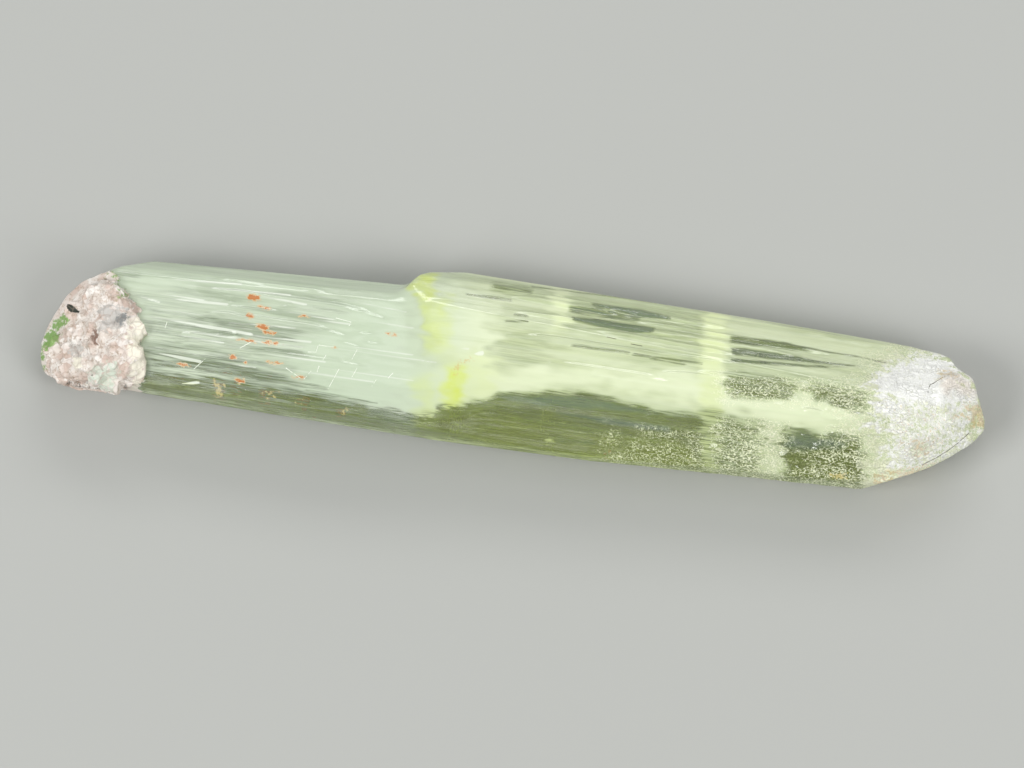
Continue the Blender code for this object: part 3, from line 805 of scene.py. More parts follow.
# Outlines of the clear openings
OPENINGS: tuple[Path, ...] = (
    # In the tip half's upper part, some of them hair-thin
    ((7.9, 8.15), (12.8, 7.5), (15.9, 6.75), (15.9, 6.4), (12.8, 6.7), (10.6, 7.3), (7.9, 7.9)),
    ((5.9, 6.8), (8.8, 6.5), (12.8, 5.9), (14.4, 5.6), (14.0, 5.1), (12.2, 5.1), (8.8, 5.7), (6.1, 6.3)),
    ((5.9, 4.08), (11.8, 3.24), (11.8, 3.0), (5.9, 3.78)),
    ((12.0, 3.12), (19.1, 2.12), (19.1, 1.92), (12.0, 2.86)),
    ((13.7, 2.65), (17.4, 2.0), (17.4, 1.88), (13.7, 2.5)),
    ((-4.7, 9.15), (0.1, 8.55), (0.1, 8.25), (-2.2, 8.5), (-4.7, 8.9)),
    ((1.8, 9.85), (9.0, 9.0), (19.2, 7.65), (19.2, 7.52), (9.0, 8.82), (1.8, 9.68)),
    ((0.1, 7.15), (1.6, 6.9), (1.6, 6.7), (0.1, 6.9)),
    ((-0.8, 6.42), (1.6, 6.36), (1.6, 6.16), (-0.8, 6.22)),
    ((24.8, 4.45), (28.8, 3.82), (37.8, 2.3), (37.8, 2.16), (28.8, 3.6), (24.8, 4.2)),
    ((21.9, 3.67), (23.3, 3.65), (26.8, 3.1), (31.3, 2.3), (35.2, 1.8), (32.0, 1.86), (27.0, 2.4),
        (22.0, 2.95)),
    ((21.8, 2.66), (26.0, 2.3), (30.0, 1.92), (33.6, 1.72), (30.3, 1.66), (26.8, 1.84), (21.96, 2.26)),
    # Three dark lines in the root half
    ((-30.7, 1.46), (-18.4, -0.24), (-18.4, -0.38), (-30.7, 1.3)),
    ((-25.6, 0.56), (-18.4, -0.56), (-18.4, -0.7), (-25.6, 0.42)),
    ((-20.8, -0.55), (-13.3, -1.86), (-13.3, -2.04), (-20.8, -0.73)),
)

# White streaks that stand out, partly milky growth streaks and partly painted glints: where each starts, where
# it ends, and its width
STREAKS_AND_GLINTS: tuple[tuple[Spot, Spot, float], ...] = (
    ((-37.7, 8.9), (-35.1, 8.15), 0.22), ((-35.3, 8.65), (-28.3, 7.95), 0.26),
    ((-26.2, 9.0), (-20.5, 7.95), 0.22), ((-37.4, 7.0), (-25.9, 4.95), 0.30),
    ((-26.5, 4.9), (-20.0, 4.2), 0.20), ((-36.4, 3.3), (-31.0, 2.2), 0.34),
    ((-20.4, 6.5), (-16.0, 5.95), 0.18), ((-36.2, 5.4), (-28.7, 4.1), 0.14),
    ((-33.0, 9.9), (-22.0, 8.9), 0.16), ((-36.0, 10.6), (-27.0, 10.0), 0.20),
    ((-30.0, 6.3), (-21.5, 5.6), 0.14), ((-23.0, 7.3), (-17.6, 6.4), 0.16),
    # Of the next two, the second is a painted glint on the step's facet
    ((-33.2, 0.0), (-31.2, 0.15), 0.28), ((-3.9, 3.0), (-2.8, 3.1), 0.45),
    ((-5.2, 3.6), (-4.2, 3.5), 0.16), ((-16.0, 8.3), (-10.5, 7.2), 0.10),
    ((-18.0, 4.0), (-9.8, 2.9), 0.10), ((-15.0, 6.4), (-9.8, 5.6), 0.12),
)

# Rust flakes on the root half: middle, length and height
FLAKES: tuple[tuple[Spot, float, float], ...] = (
    ((-25.8, 8.64), 1.3, 0.55), ((-24.7, 7.65), 1.4, 0.25), ((-26.2, 6.8), 1.0, 0.4),
    ((-25.0, 5.7), 1.1, 0.4), ((-24.3, 5.15), 1.4, 0.32), ((-20.8, 6.8), 1.0, 0.3),
    ((-24.15, 4.14), 1.6, 0.36), ((-26.4, 4.35), 1.8, 0.22), ((-27.9, 2.7), 0.8, 0.5),
    ((-26.7, 2.3), 0.6, 0.3), ((-23.75, 2.16), 1.3, 0.26), ((-21.3, 0.7), 1.0, 0.24),
    ((-33.0, 1.94), 1.4, 0.22), ((-27.15, 0.3), 1.0, 0.42), ((-17.9, 3.66), 0.5, 0.2),
    ((-12.1, 5.0), 0.9, 0.16),
)

# White etch channels on the root half's broad face, as lines in the view
CHANNELS: tuple[Path, ...] = (
    ((-18.4, -0.5), (-17.3, 1.5)), ((-16.0, 0.7), (-15.5, 1.6)), ((-16.0, 2.5), (-15.5, 3.4)),
    ((-20.8, 0.5), (-20.1, 1.3)), ((-20.4, 3.2), (-19.6, 3.2), (-19.4, 3.8)), ((-19.3, 3.9), (-17.8, 3.7)),
    ((-27.2, 3.6), (-26.1, 4.2)), ((-31.8, 1.5), (-30.7, 2.5)), ((-34.7, 5.6), (-34.5, 6.2)),
    ((-19.5, 1.2), (-19.3, 1.8)), ((-18.9, 2.4), (-18.6, 2.9)), ((-22.6, 1.6), (-21.2, 0.6)),
    ((-17.6, 6.6), (-16.1, 6.2), (-16.3, 5.8)), ((-12.4, 0.6), (-11.9, 1.1)), ((-14.0, -0.2), (-13.6, 0.4)),
)

# Fine dark cracks: the arc and the lower line on the termination, and short ones before it
CRACKS: tuple[Path, ...] = (
    ((41.6, -0.8), (41.8, -0.1), (42.2, 0.1), (42.8, 0.5), (43.3, 0.8)),
    ((45.7, -4.9), (44.6, -5.9), (43.7, -6.6), (42.4, -7.4), (41.0, -8.1)),
    ((9.5, 4.7), (10.4, 4.5)), ((11.9, 4.0), (13.0, 3.8)),
    ((24.6, -5.7), (24.7, -5.75)), ((36.3, 2.3), (37.4, 2.1)),
)


@dataclass(frozen=True)
class Feldspar:
    """Broken feldspar rock, with grey quartz, bright green grains and brown clefts.

    To the eye it is matt and crumbly: pinkish and white grains, dusty hollows and darker seams between
    them, painted shade in its clefts, and a calmer shine where a grain has split along its cleavage.
    """

    # Real sizes in millimetres: patches of colour, single grains, and the net of seams
    patch: Cell = (1.8, 1.8, 1.8)
    single: Cell = (0.75, 0.75, 0.75)
    net: Cell = (0.95, 0.95, 0.95)
    # Real crumbs are finer; these are as coarse as they need to show
    crumb: Cell = (0.45, 0.45, 0.45)
    crumb_depth: float = 0.13
    ground: str = "E6DCD2"
    blush: str = "D8C3B6"
    dust: str = "B29C86"
    ash: str = "FCF8F2"
    # Darker seams between grains, and the painted shade in the sunk clefts
    seam_and_shade: str = "A08D80"
    seam_share: float = 0.28
    tints: tuple[tuple[Look, str], ...] = (
        # Pale grains, and the painted highlight on the rim beside the crystal
        (Look.PALE, "F6F0DE"),
        (Look.GLASS, "D8E0D0"),
        (Look.QUARTZ, "C9C5BF"),
        (Look.SLATE, "8C8D8B"),
        (Look.CLEFT, "8E7466"),
        (Look.MOSS, "86AA5E"),
        (Look.NEEDLE, "262C20"),
    )

    def tint(
        self, shade: Shade, looks: tuple[Look, ...]
    ) -> tuple[bpy.types.NodeSocket, bpy.types.NodeSocket]:
        """Adds the rock's colour to a material.

        Args:
            shade: The material under construction.
            looks: The patches that it shows.

        Returns:
            The colour, and the crumbs' height.
        """
        add = shade.add
        patch = shade.pattern(Knot.NOISE, self.patch, 2.0, 0.5)
        crumbs = shade.pattern(Knot.NOISE, self.crumb, 4.0, 0.70)
        tone = add(Knot.SPLIT, shade.pattern(Knot.CELLS, self.single))
        colour = add(Knot.MIX, add(Knot.SPAN, patch, 0.42, 0.58), self.blush, self.ground)
        colour = add(Knot.MIX, add(Knot.SPAN, tone, 0.25, 0.95, 0.0, 0.75), colour, self.ash)
        colour = add(Knot.MIX, add(Knot.SPAN, crumbs, 0.50, 0.64, 0.0, 0.72), colour, self.dust)
        for look, code in self.tints:
            if look in looks:
                mask = add(Knot.MASK, attribute_name=look.value)
                colour = add(Knot.MIX, shade.frayed(mask, crumbs, 0.55), colour, code)
        return colour, crumbs

    def make(self) -> bpy.types.Material:
        """Builds the material.

        Returns:
            The material.
        """
        shade = Shade("feldspar_broken")
        add = shade.add
        colour, crumbs = self.tint(shade, ROCKY)
        seams = add(Knot.SPAN, shade.pattern(Knot.SEAMS, self.net), 0.0, 0.10, self.seam_share, 0.0)
        # The sunk clefts get painted shade in the seam colour
        sunk = add(Knot.SPAN, add(Knot.MASK, attribute_name="sunk"), 0.1, 0.9, 0.0, 0.45)
        for share in (seams, sunk):
            colour = add(Knot.MIX, share, colour, self.seam_and_shade)
        shine = add(Knot.SPAN, crumbs, 0.3, 0.7, 0.70, 0.42)
        normal = add(Knot.BUMP, crumbs, self.crumb_depth * MM)
        return shade.dress(Base_Color=colour, Roughness=shine, Normal=normal)


@dataclass(frozen=True)
class Spodumene:
    """Pale green spodumene, as grown and then etched.

    To the eye it is glassy and clear where light passes, milky where it is full of silk, drawn with fine
    lines along its length, and closed to a frosty white where it is etched.
    """

    # The mineral's usual index, what 10 mm of the clear stone lets through, and the absorption's density
    ior: float = 1.66
    through: str = "E6EEB8"
    density: float = 100.0
    # The share of light that the clear stone holds back, and the share that the milkiest still passes
    haze: float = 0.10
    least_clear: float = 0.08
    # The clear stone, the calm and the thick milk of the root half and of the tip half, and its gaps
    clear: str = "DCE97C"
    teal: str = "CFE8DC"
    calm: str = "D6E1C8"
    mint: str = "CDDBC0"
    pale: str = "C6D2A0"
    cream: str = "E6EFC8"
    gap: str = "BDCBB0"
    # Etch figures, white streaks that are partly painted glints, and frost
    fleck: str = "F0F3D2"
    olive: str = "E0E4BC"
    white: str = "F4F7EC"
    frost: str = "FFFFFA"
    thin: str = "DDE0B4"
    # Bands and stains
    yellow: str = "DAE874"
    rust: str = "DCC07E"
    flake: str = "C97C40"
    flake_rim: str = "DDBE92"
    pink: str = "F0DCC8"
    # Pattern sizes in millimetres. Real growth lines go down to a few hundredths and real etch figures to
    # a tenth or less, so hairs and curls are drawn as coarse as they need to show
    flow: Cell = (11.0, 0.80, 0.80)
    hairs: Cell = (3.0, 0.14, 0.14)
    curls: Cell = (0.44, 0.30, 0.30)
    clumps: Cell = (2.2, 1.4, 1.4)
    curl_width: float = 0.075
    hair_depth: float = 0.003
    curl_depth: float = 0.05
    coat_depth: float = 0.10
    # How far an opening clears the milk, and how far the hairs move the milk's borders
    opening_share: float = 0.69
    fray: float = 0.28
    # Roughness of the polished, the milky and the etched surface
    polished: float = 0.05
    milky: float = 0.16
    etched: float = 0.50

    def absorb(self) -> Colour:
        """The absorption colour that lets the right light through 10 mm."""
        rates = [-math.log(part) / (self.density * 10 * MM) for part in linear(self.through)[:3]]
        return (*(1.0 - rate for rate in rates), 1.0)

    def make(self) -> bpy.types.Material:
        """Builds the material. Its masks are kept on the crystal's vertices.

        Returns:
            The material.
        """
        shade = Shade("spodumene_striated_and_etched")
        add = shade.add
        seen = {look: add(Knot.MASK, attribute_name=look.value) for look in Look if look not in ROCKY}
        flow = shade.pattern(Knot.NOISE, self.flow, 2.5, 0.5)
        hairs = shade.pattern(Knot.NOISE, self.hairs, 2.0, 0.5)
        curl = shade.pattern(Knot.NOISE, self.curls, 2.0, 0.6)
        clumps = shade.pattern(Knot.NOISE, self.clumps, 2.0, 0.5)
        rock, crumbs = Feldspar().tint(shade, RIM)

        # Sharp masks: openings, white streaks that are partly painted glints, and rust flakes with their core
        edge = add(Knot.PLUS, seen[Look.OPEN], add(Knot.SPAN, hairs, 0.3, 0.7, -0.08, 0.08))
        opening = add(Knot.TIMES, add(Knot.SPAN, edge, -0.10, 0.16), self.opening_share)
        streaks_and_glints = add(Knot.SPAN, seen[Look.BLADE], -0.07, 0.06)
        edge = add(Knot.PLUS, seen[Look.FLAKE], add(Knot.SPAN, curl, 0.3, 0.7, -0.14, 0.14))
        flakes = add(Knot.SPAN, edge, -0.10, 0.06)
        core = add(Knot.PLUS, seen[Look.FLAKE], add(Knot.SPAN, curl, 0.35, 0.65, -0.08, 0.08))

        # Etch figures follow the noise's curling middle line, in clumps that close up as the etch grows
        ridge = add(Knot.SIZE, add(Knot.MINUS, curl, 0.5))
        curls = add(Knot.SPAN, ridge, 0.0, self.curl_width, 1.0, 0.0)
        etch = add(Knot.TIMES, seen[Look.ETCH], add(Knot.SPAN, clumps, 0.35, 0.62, 0.55, 1.35))
        figures = add(Knot.SPAN, add(Knot.PLUS, curls, etch), 0.62, 1.30)
        figures = add(Knot.TIMES, figures, add(Knot.SPAN, etch, 0.02, 0.12))
        frosted = shade.frayed(seen[Look.FROST], crumbs, 0.5)
        coat = shade.frayed(seen[Look.COAT], crumbs, 0.6)
        stain = shade.frayed(seen[Look.RUST], crumbs, 0.8)

        # Milk: dim along growth lines, feathered at its borders, cleared by the openings
        dim = add(Knot.TIMES, add(Knot.MASK, attribute_name="lines"), add(Knot.SPAN, flow, 0.36, 0.60, 1.0, 0.0))
        dim = add(Knot.TIMES, dim, add(Knot.SPAN, seen[Look.MILK], 0.6, 1.0, 1.0, 0.2))
        border = add(Knot.TIMES, seen[Look.MILK], add(Knot.MINUS, 1.0, seen[Look.MILK]))
        border = add(Knot.POWER, add(Knot.TIMES, border, 4.0), 5.0)
        feathers = add(Knot.TIMES, border, add(Knot.SPAN, hairs, 0.32, 0.68, -self.fray, self.fray))
        milk = add(Knot.PLUS, seen[Look.MILK], feathers)
        milk = add(Knot.TIMES, milk, add(Knot.SPAN, dim, 0.0, 1.0, 1.0, 0.76))
        milk = add(Knot.TIMES, milk, add(Knot.MINUS, 1.0, opening))

        # Colour, from the inside out
        thick = add(Knot.SPAN, seen[Look.MILK], 0.60, 0.95)
        cool = add(Knot.MIX, thick, self.calm, self.mint)
        warm = add(Knot.MIX, thick, self.pale, self.cream)
        body = add(Knot.MIX, add(Knot.MASK, attribute_name="warm"), cool, warm)
        body = add(Knot.MIX, add(Knot.TIMES, dim, 0.8), body, self.gap)
        clear = add(Knot.MIX, seen[Look.TEAL], self.clear, self.teal)
        glow = add(Knot.TIMES, seen[Look.YELLOW], add(Knot.MASK, attribute_name="upside"))
        glow = add(Knot.TIMES, glow, add(Knot.SPAN, clumps, 0.35, 0.65, 0.72, 1.0))
        flecks = add(Knot.MIX, add(Knot.SPAN, crumbs, 0.46, 0.60), self.fleck, self.olive)
        snow = add(Knot.MIX, add(Knot.SPAN, crumbs, 0.56, 0.70, 0.0, 0.34), self.frost, self.thin)
        ruddy = add(Knot.MIX, add(Knot.SPAN, core, 0.06, 0.16), self.flake_rim, self.flake)
        colour = add(Knot.MIX, add(Knot.SPAN, milk, 0.0, 0.4), clear, body)
        for share, over in (
            (glow, self.yellow),
            # White streaks: milky growth streaks with painted glints
            (add(Knot.TIMES, streaks_and_glints, 0.6), self.white),
            (figures, flecks),
            (frosted, snow),
            (add(Knot.TIMES, stain, 0.6), self.rust),
            (add(Knot.TIMES, seen[Look.PINK], 0.8), self.pink),
            (add(Knot.TIMES, flakes, add(Knot.SPAN, core, -0.06, 0.12, 0.45, 0.95)), ruddy),
            (coat, rock),
        ):
            colour = add(Knot.MIX, share, colour, over)

        # How much of it is solid, how rough it is, and its fine relief
        crust = add(Knot.MOST, add(Knot.MOST, figures, frosted), coat)
        stains = add(Knot.MOST, add(Knot.TIMES, stain, 0.7), flakes)
        solid = add(Knot.MOST, add(Knot.MOST, milk, streaks_and_glints), add(Knot.MOST, crust, stains))
        normal = add(Knot.BUMP, hairs, self.hair_depth * MM)
        normal = add(Knot.BUMP, add(Knot.TIMES, curls, etch), self.curl_depth * MM, normal)
        normal = add(Knot.BUMP, add(Knot.TIMES, crumbs, coat), self.coat_depth * MM, normal)
        rough = add(Knot.SPAN, crust, 0.0, 1.0, self.polished, self.etched)
        rough = add(Knot.MOST, rough, add(Knot.TIMES, milk, self.milky))
        passing = add(Knot.SPAN, solid, 0.0, 1.0, 1.0 - self.haze, self.least_clear)
        inside = add(Knot.ABSORB, self.absorb(), self.density)
        shade.feed(shade.tree.nodes["Material Output"].inputs["Volume"], inside)
        return shade.dress(
            Base_Color=colour, Roughness=rough, Transmission_Weight=passing, IOR=self.ior, Normal=normal
        )


@dataclass(frozen=True)
class Grain:
    """A small opaque grain or line: two tones of one colour, how rough it is, and the tones' size."""

    name: str
    light: str
    dark: str
    rough: float
    tone: Cell = (0.4, 0.25, 0.25)

    def make(self) -> bpy.types.Material:
        """Builds the material.

        Returns:
            The material.
        """
        shade = Shade(self.name)
        tone = shade.add(Knot.SPAN, shade.pattern(Knot.NOISE, self.tone, 3.0, 0.5), 0.35, 0.65)
        return shade.dress(Base_Color=shade.add(Knot.MIX, tone, self.dark, self.light), Roughness=self.rough)


# Hair-thin mineral needles and tubes: pale, with a soft satin look
SILK = Grain("silk_needles", "F6F8E6", "DCE4C4", 0.45)
# Iron oxide: dull orange-brown specks
OXIDE = Grain("iron_oxide", "E09A4A", "B4662A", 0.55)
# Films of fluid in healed fractures: small yellowish white glints
VEIL = Grain("veil_platelets", "F2F6D0", "DCE69A", 0.35)
# Broken edges of etch channels: thin bright white lines
CHANNEL_EDGE = Grain("etch_edges", "F4F7EA", "E2EAD6", 0.40)
# Dirt and shadow in open cracks: thin dark matt lines
CRACK_SHADOW = Grain("crack_shadow", "6E6A50", "3C3A2C", 0.60)


@dataclass(frozen=True)
class Painter:
    """Keeps on each vertex of a piece what the photograph's view shows there."""

    # What makes soft borders sway, and how far they do, over their own width
    sway: Relief
    reach: float = 1.3
    # Growth streaks, partly painted glints, strewn over the root half, under its back edge, beside those that
    # stand out
    strewn: int = 12
    edge: Spot = (-37.0, 11.4)
    seed: int = 4

    def crisp(self) -> dict[Look, list[Zone]]:
        """Collects the zones with a sharp border.

        Returns:
            The openings, white streaks that are partly painted glints, and rust flakes.
        """
        dice = random.Random(self.seed)
        streaks_and_glints = [blade(*line) for line in STREAKS_AND_GLINTS]
        for _ in range(self.strewn):
            length, left = dice.uniform(3.0, 13.0), dice.uniform(-37.5, -17.0)
            top = self.edge[1] - FALL * (left - self.edge[0]) - dice.uniform(0.3, 8.8)
            streaks_and_glints.append(blade((left, top), (left + length, top - FALL * length), dice.uniform(0.07, 0.16)))
        flakes = [flake(*spot, dice) for spot in FLAKES]
        openings = [Zone(1.0, 0.0, outline) for outline in OPENINGS]
        return {Look.OPEN: openings, Look.BLADE: streaks_and_glints, Look.FLAKE: flakes}

    def paint(
        self, obj: bpy.types.Object, looks: tuple[Look, ...], start: dict[Look, np.ndarray]
    ) -> dict[Look, np.ndarray]:
        """Paints a piece.

        Args:
            obj: The piece.
            looks: The looks to paint.
            start: What a look is outside its zones, where that isn't 0.

        Returns:
            The painted values of each look.
        """
        points = Bench.points(obj)
        across, up = SIGHT.seen(points)
        sway = self.sway.wave(points)
        crisp = self.crisp()
        values = {}
        for look in looks:
            if look in CRISP:
                kept = np.full(len(points), -1.0)
                for zone in crisp[look]:
                    kept = np.maximum(kept, zone.inset(across, up))
            else:
                kept = start.get(look, np.zeros(len(points)))
                for zone in (Zone(*row) for row in AREAS[look]):
                    shift = self.reach * zone.feather * sway
                    inset = zone.inset(across + shift, up + 0.5 * shift)
                    kept = kept + (zone.value - kept) * ramp(inset, -zone.feather, zone.feather)
            values[look] = kept
            Bench.store(obj, look.value, kept)
        return values


@dataclass
class CrystalBody:
    """The crystal's own body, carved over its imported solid."""

    cell: float = 0.150
    squeeze: float = 0.42
    # How milky the root half and the tip half are, where the change lies in the view, and its clouds
    milk_root: float = 0.77
    milk_tip: float = 0.76
    warm_from: float = -13.0
    warm_to: float = 0.0
    clouds: Relief = Relief((9.0, 1.2, 1.2), 23.9, 0.10)
    painter: Painter = Painter(Relief((1.6, 0.6, 0.6), 3.7))
    # Growth lines, ribs, and the edges of growth terraces, all along the crystal
    lines: Relief = Relief((26.0, 1.2, 1.2), 71.9, 0.018)
    ribs: Relief = Relief((14.0, 0.50, 0.50), 8.7, 0.008)
    terraces: Relief = Relief((34.0, 2.6, 2.6), 18.3, 0.03)
    # Etch pits, coarse and fine
    pits: Relief = Relief((0.9, 0.55, 0.55), 26.9, 0.055)
    fine_pits: Relief = Relief((0.45, 0.33, 0.33), 44.2, 0.0275)
    # How often all edges are smoothed, and the step, and where in the view the step's wear lies
    edge_rounds: int = 6
    worn_rounds: int = 120
    worn_levels: int = 8
    worn: Zone = Zone(1.0, 1.2, (
        (-11.6, 9.6), (-6.6, 9.6), (-5.8, 3.0), (-2.0, 1.4), (6.0, 0.8), (6.0, -0.8), (-9.4, -0.8),
        (-11.6, 3.0),
    ))

    def build(self) -> bpy.types.Object:
        """Builds, carves and dresses the body.

        Returns:
            The body.
        """
        obj = Bench.merged_copy("crystal", "crystal_body")
        Bench.regrain(obj, self.cell, self.squeeze)
        self.wear(obj)
        self.carve(obj, self.colour(obj))
        obj.data.materials.append(Spodumene().make())
        Bench.finish(obj, "crystal", ("crystal",))
        return obj

    def wear(self, obj: bpy.types.Object) -> None:
        """Rounds the edges a little, and the step much more.

        Args:
            obj: The body.
        """
        across, up = SIGHT.seen(Bench.points(obj))
        top = ramp(Bench.normals(obj)[:, 2], 0.1, 0.4)
        inside = ramp(self.worn.inset(across, up), -self.worn.feather, self.worn.feather)
        levels = np.rint(self.worn_levels * top * inside).astype(int)
        group = obj.vertex_groups.new(name="worn")
        for level in range(1, self.worn_levels + 1):
            group.add(np.flatnonzero(levels == level).tolist(), level / self.worn_levels, "REPLACE")
        Bench.smooth(obj, self.worn_rounds, "worn")
        Bench.smooth(obj, self.edge_rounds)

    def colour(self, obj: bpy.types.Object) -> dict[Look, np.ndarray]:
        """Keeps each vertex's milk, openings, etch and stains.

        Args:
            obj: The body.

        Returns:
            The painted values of each look.
        """
        points = Bench.points(obj)
        across, _ = SIGHT.seen(points)
        warm = ramp(across, self.warm_from, self.warm_to)
        milk = self.milk_root + (self.milk_tip - self.milk_root) * warm + self.clouds.scaled(points)
        Bench.store(obj, "warm", warm)
        Bench.store(obj, "upside", ramp(Bench.normals(obj)[:, 2], -0.3, 0.2))
        Bench.store(obj, "lines", 0.25 + 0.75 * ramp(across, -9.0, -20.0))
        looks = tuple(look for look in Look if look not in ROCKY or look in RIM)
        return self.painter.paint(obj, looks, {Look.MILK: np.clip(milk, 0.0, 1.0)})

    def carve(self, obj: bpy.types.Object, values: dict[Look, np.ndarray]) -> None:
        """Sinks growth striations and etch figures into the surface.

        Args:
            obj: The body.
            values: What is painted on each vertex.
        """
        points = Bench.points(obj)
        long_side = ramp(np.abs(Bench.normals(obj)[:, 0]), 0.45, 0.20)
        edges = self.terraces.depth * ramp(np.abs(self.terraces.wave(points)), 0.05, 0.0)
        depth = long_side * (self.lines.scaled(points, 1.0) + self.ribs.scaled(points, 1.0) + edges)
        broken = np.clip(values[Look.ETCH] + values[Look.COAT], 0.0, 1.0)
        depth += broken * (self.pits.scaled(points, 1.2) + self.fine_pits.scaled(points))
        Bench.sink(obj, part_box("crystal"), depth)


@dataclass
class RockCrust:
    """The feldspar crust on the root."""

    cell: float = 0.10
    rounds: int = 14
    # Lumps, crumbs and grit all over, and clefts where both of their waves allow one
    layers: tuple[Relief, ...] = (
        Relief((1.0, 1.0, 1.0), 7.7, 0.10),
        Relief((0.42, 0.42, 0.42), 16.7, 0.075),
        Relief((0.22, 0.22, 0.22), 30.7, 0.035),
    )
    clefts: Relief = Relief((2.4, 2.4, 2.4), 24.7, 0.10)
    cleft_parts: Relief = Relief((1.5, 1.5, 1.5), 38.7)
    # How near the crystal the underside is drawn to it, how much farther is searched, and its bite
    grip: float = 0.55
    search: float = 0.3
    bite: float = 0.03
    painter: Painter = Painter(Relief((1.6, 0.6, 0.6), 7.7))

    def build(self, crystal: bpy.types.Object) -> bpy.types.Object:
        """Builds, carves and dresses the crust.

        Args:
            crystal: The body that it has grown on.

        Returns:
            The crust.
        """
        obj = Bench.merged_copy("matrix", "rock_crust")
        Bench.regrain(obj, self.cell)
        Bench.smooth(obj, self.rounds)
        self.crumble(obj)
        self.root(obj, crystal)
        self.painter.paint(obj, ROCKY, {})
        obj.data.materials.append(Feldspar().make())
        Bench.finish(obj, "matrix", ("matrix",))
        return obj

    def crumble(self, obj: bpy.types.Object) -> None:
        """Sinks lumps, crumbs and a few clefts into the surface.

        Args:
            obj: The crust.
        """
        points = Bench.points(obj)
        clefts = ramp(np.abs(self.clefts.wave(points)), 0.05, 0.0)
        clefts = clefts * ramp(self.cleft_parts.wave(points), 0.12, 0.35)
        # The clefts are kept for the material, which paints shade into them
        Bench.store(obj, "sunk", clefts)
        depth = sum(layer.scaled(points, 0.7) for layer in self.layers) + self.clefts.depth * clefts
        Bench.sink(obj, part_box("matrix"), depth)

    def root(self, obj: bpy.types.Object, crystal: bpy.types.Object) -> None:
        """Lets the crust's underside reach the crystal.

        Args:
            obj: The crust.
            crystal: The body that it has grown on.
        """
        tree = BVHTree.FromObject(crystal, bpy.context.evaluated_depsgraph_get())
        points = Bench.points(obj)
        for row, (point, normal) in enumerate(zip(points, Bench.normals(obj))):
            spot, out, _, gap = tree.find_nearest(Vector(point) * MM, (self.grip + self.search) * MM)
            if spot is not None and gap < self.grip * MM and Vector(normal).dot(out) < -0.2:
                points[row] = (spot - out * self.bite * MM) / MM
        Bench.lay(obj, points)


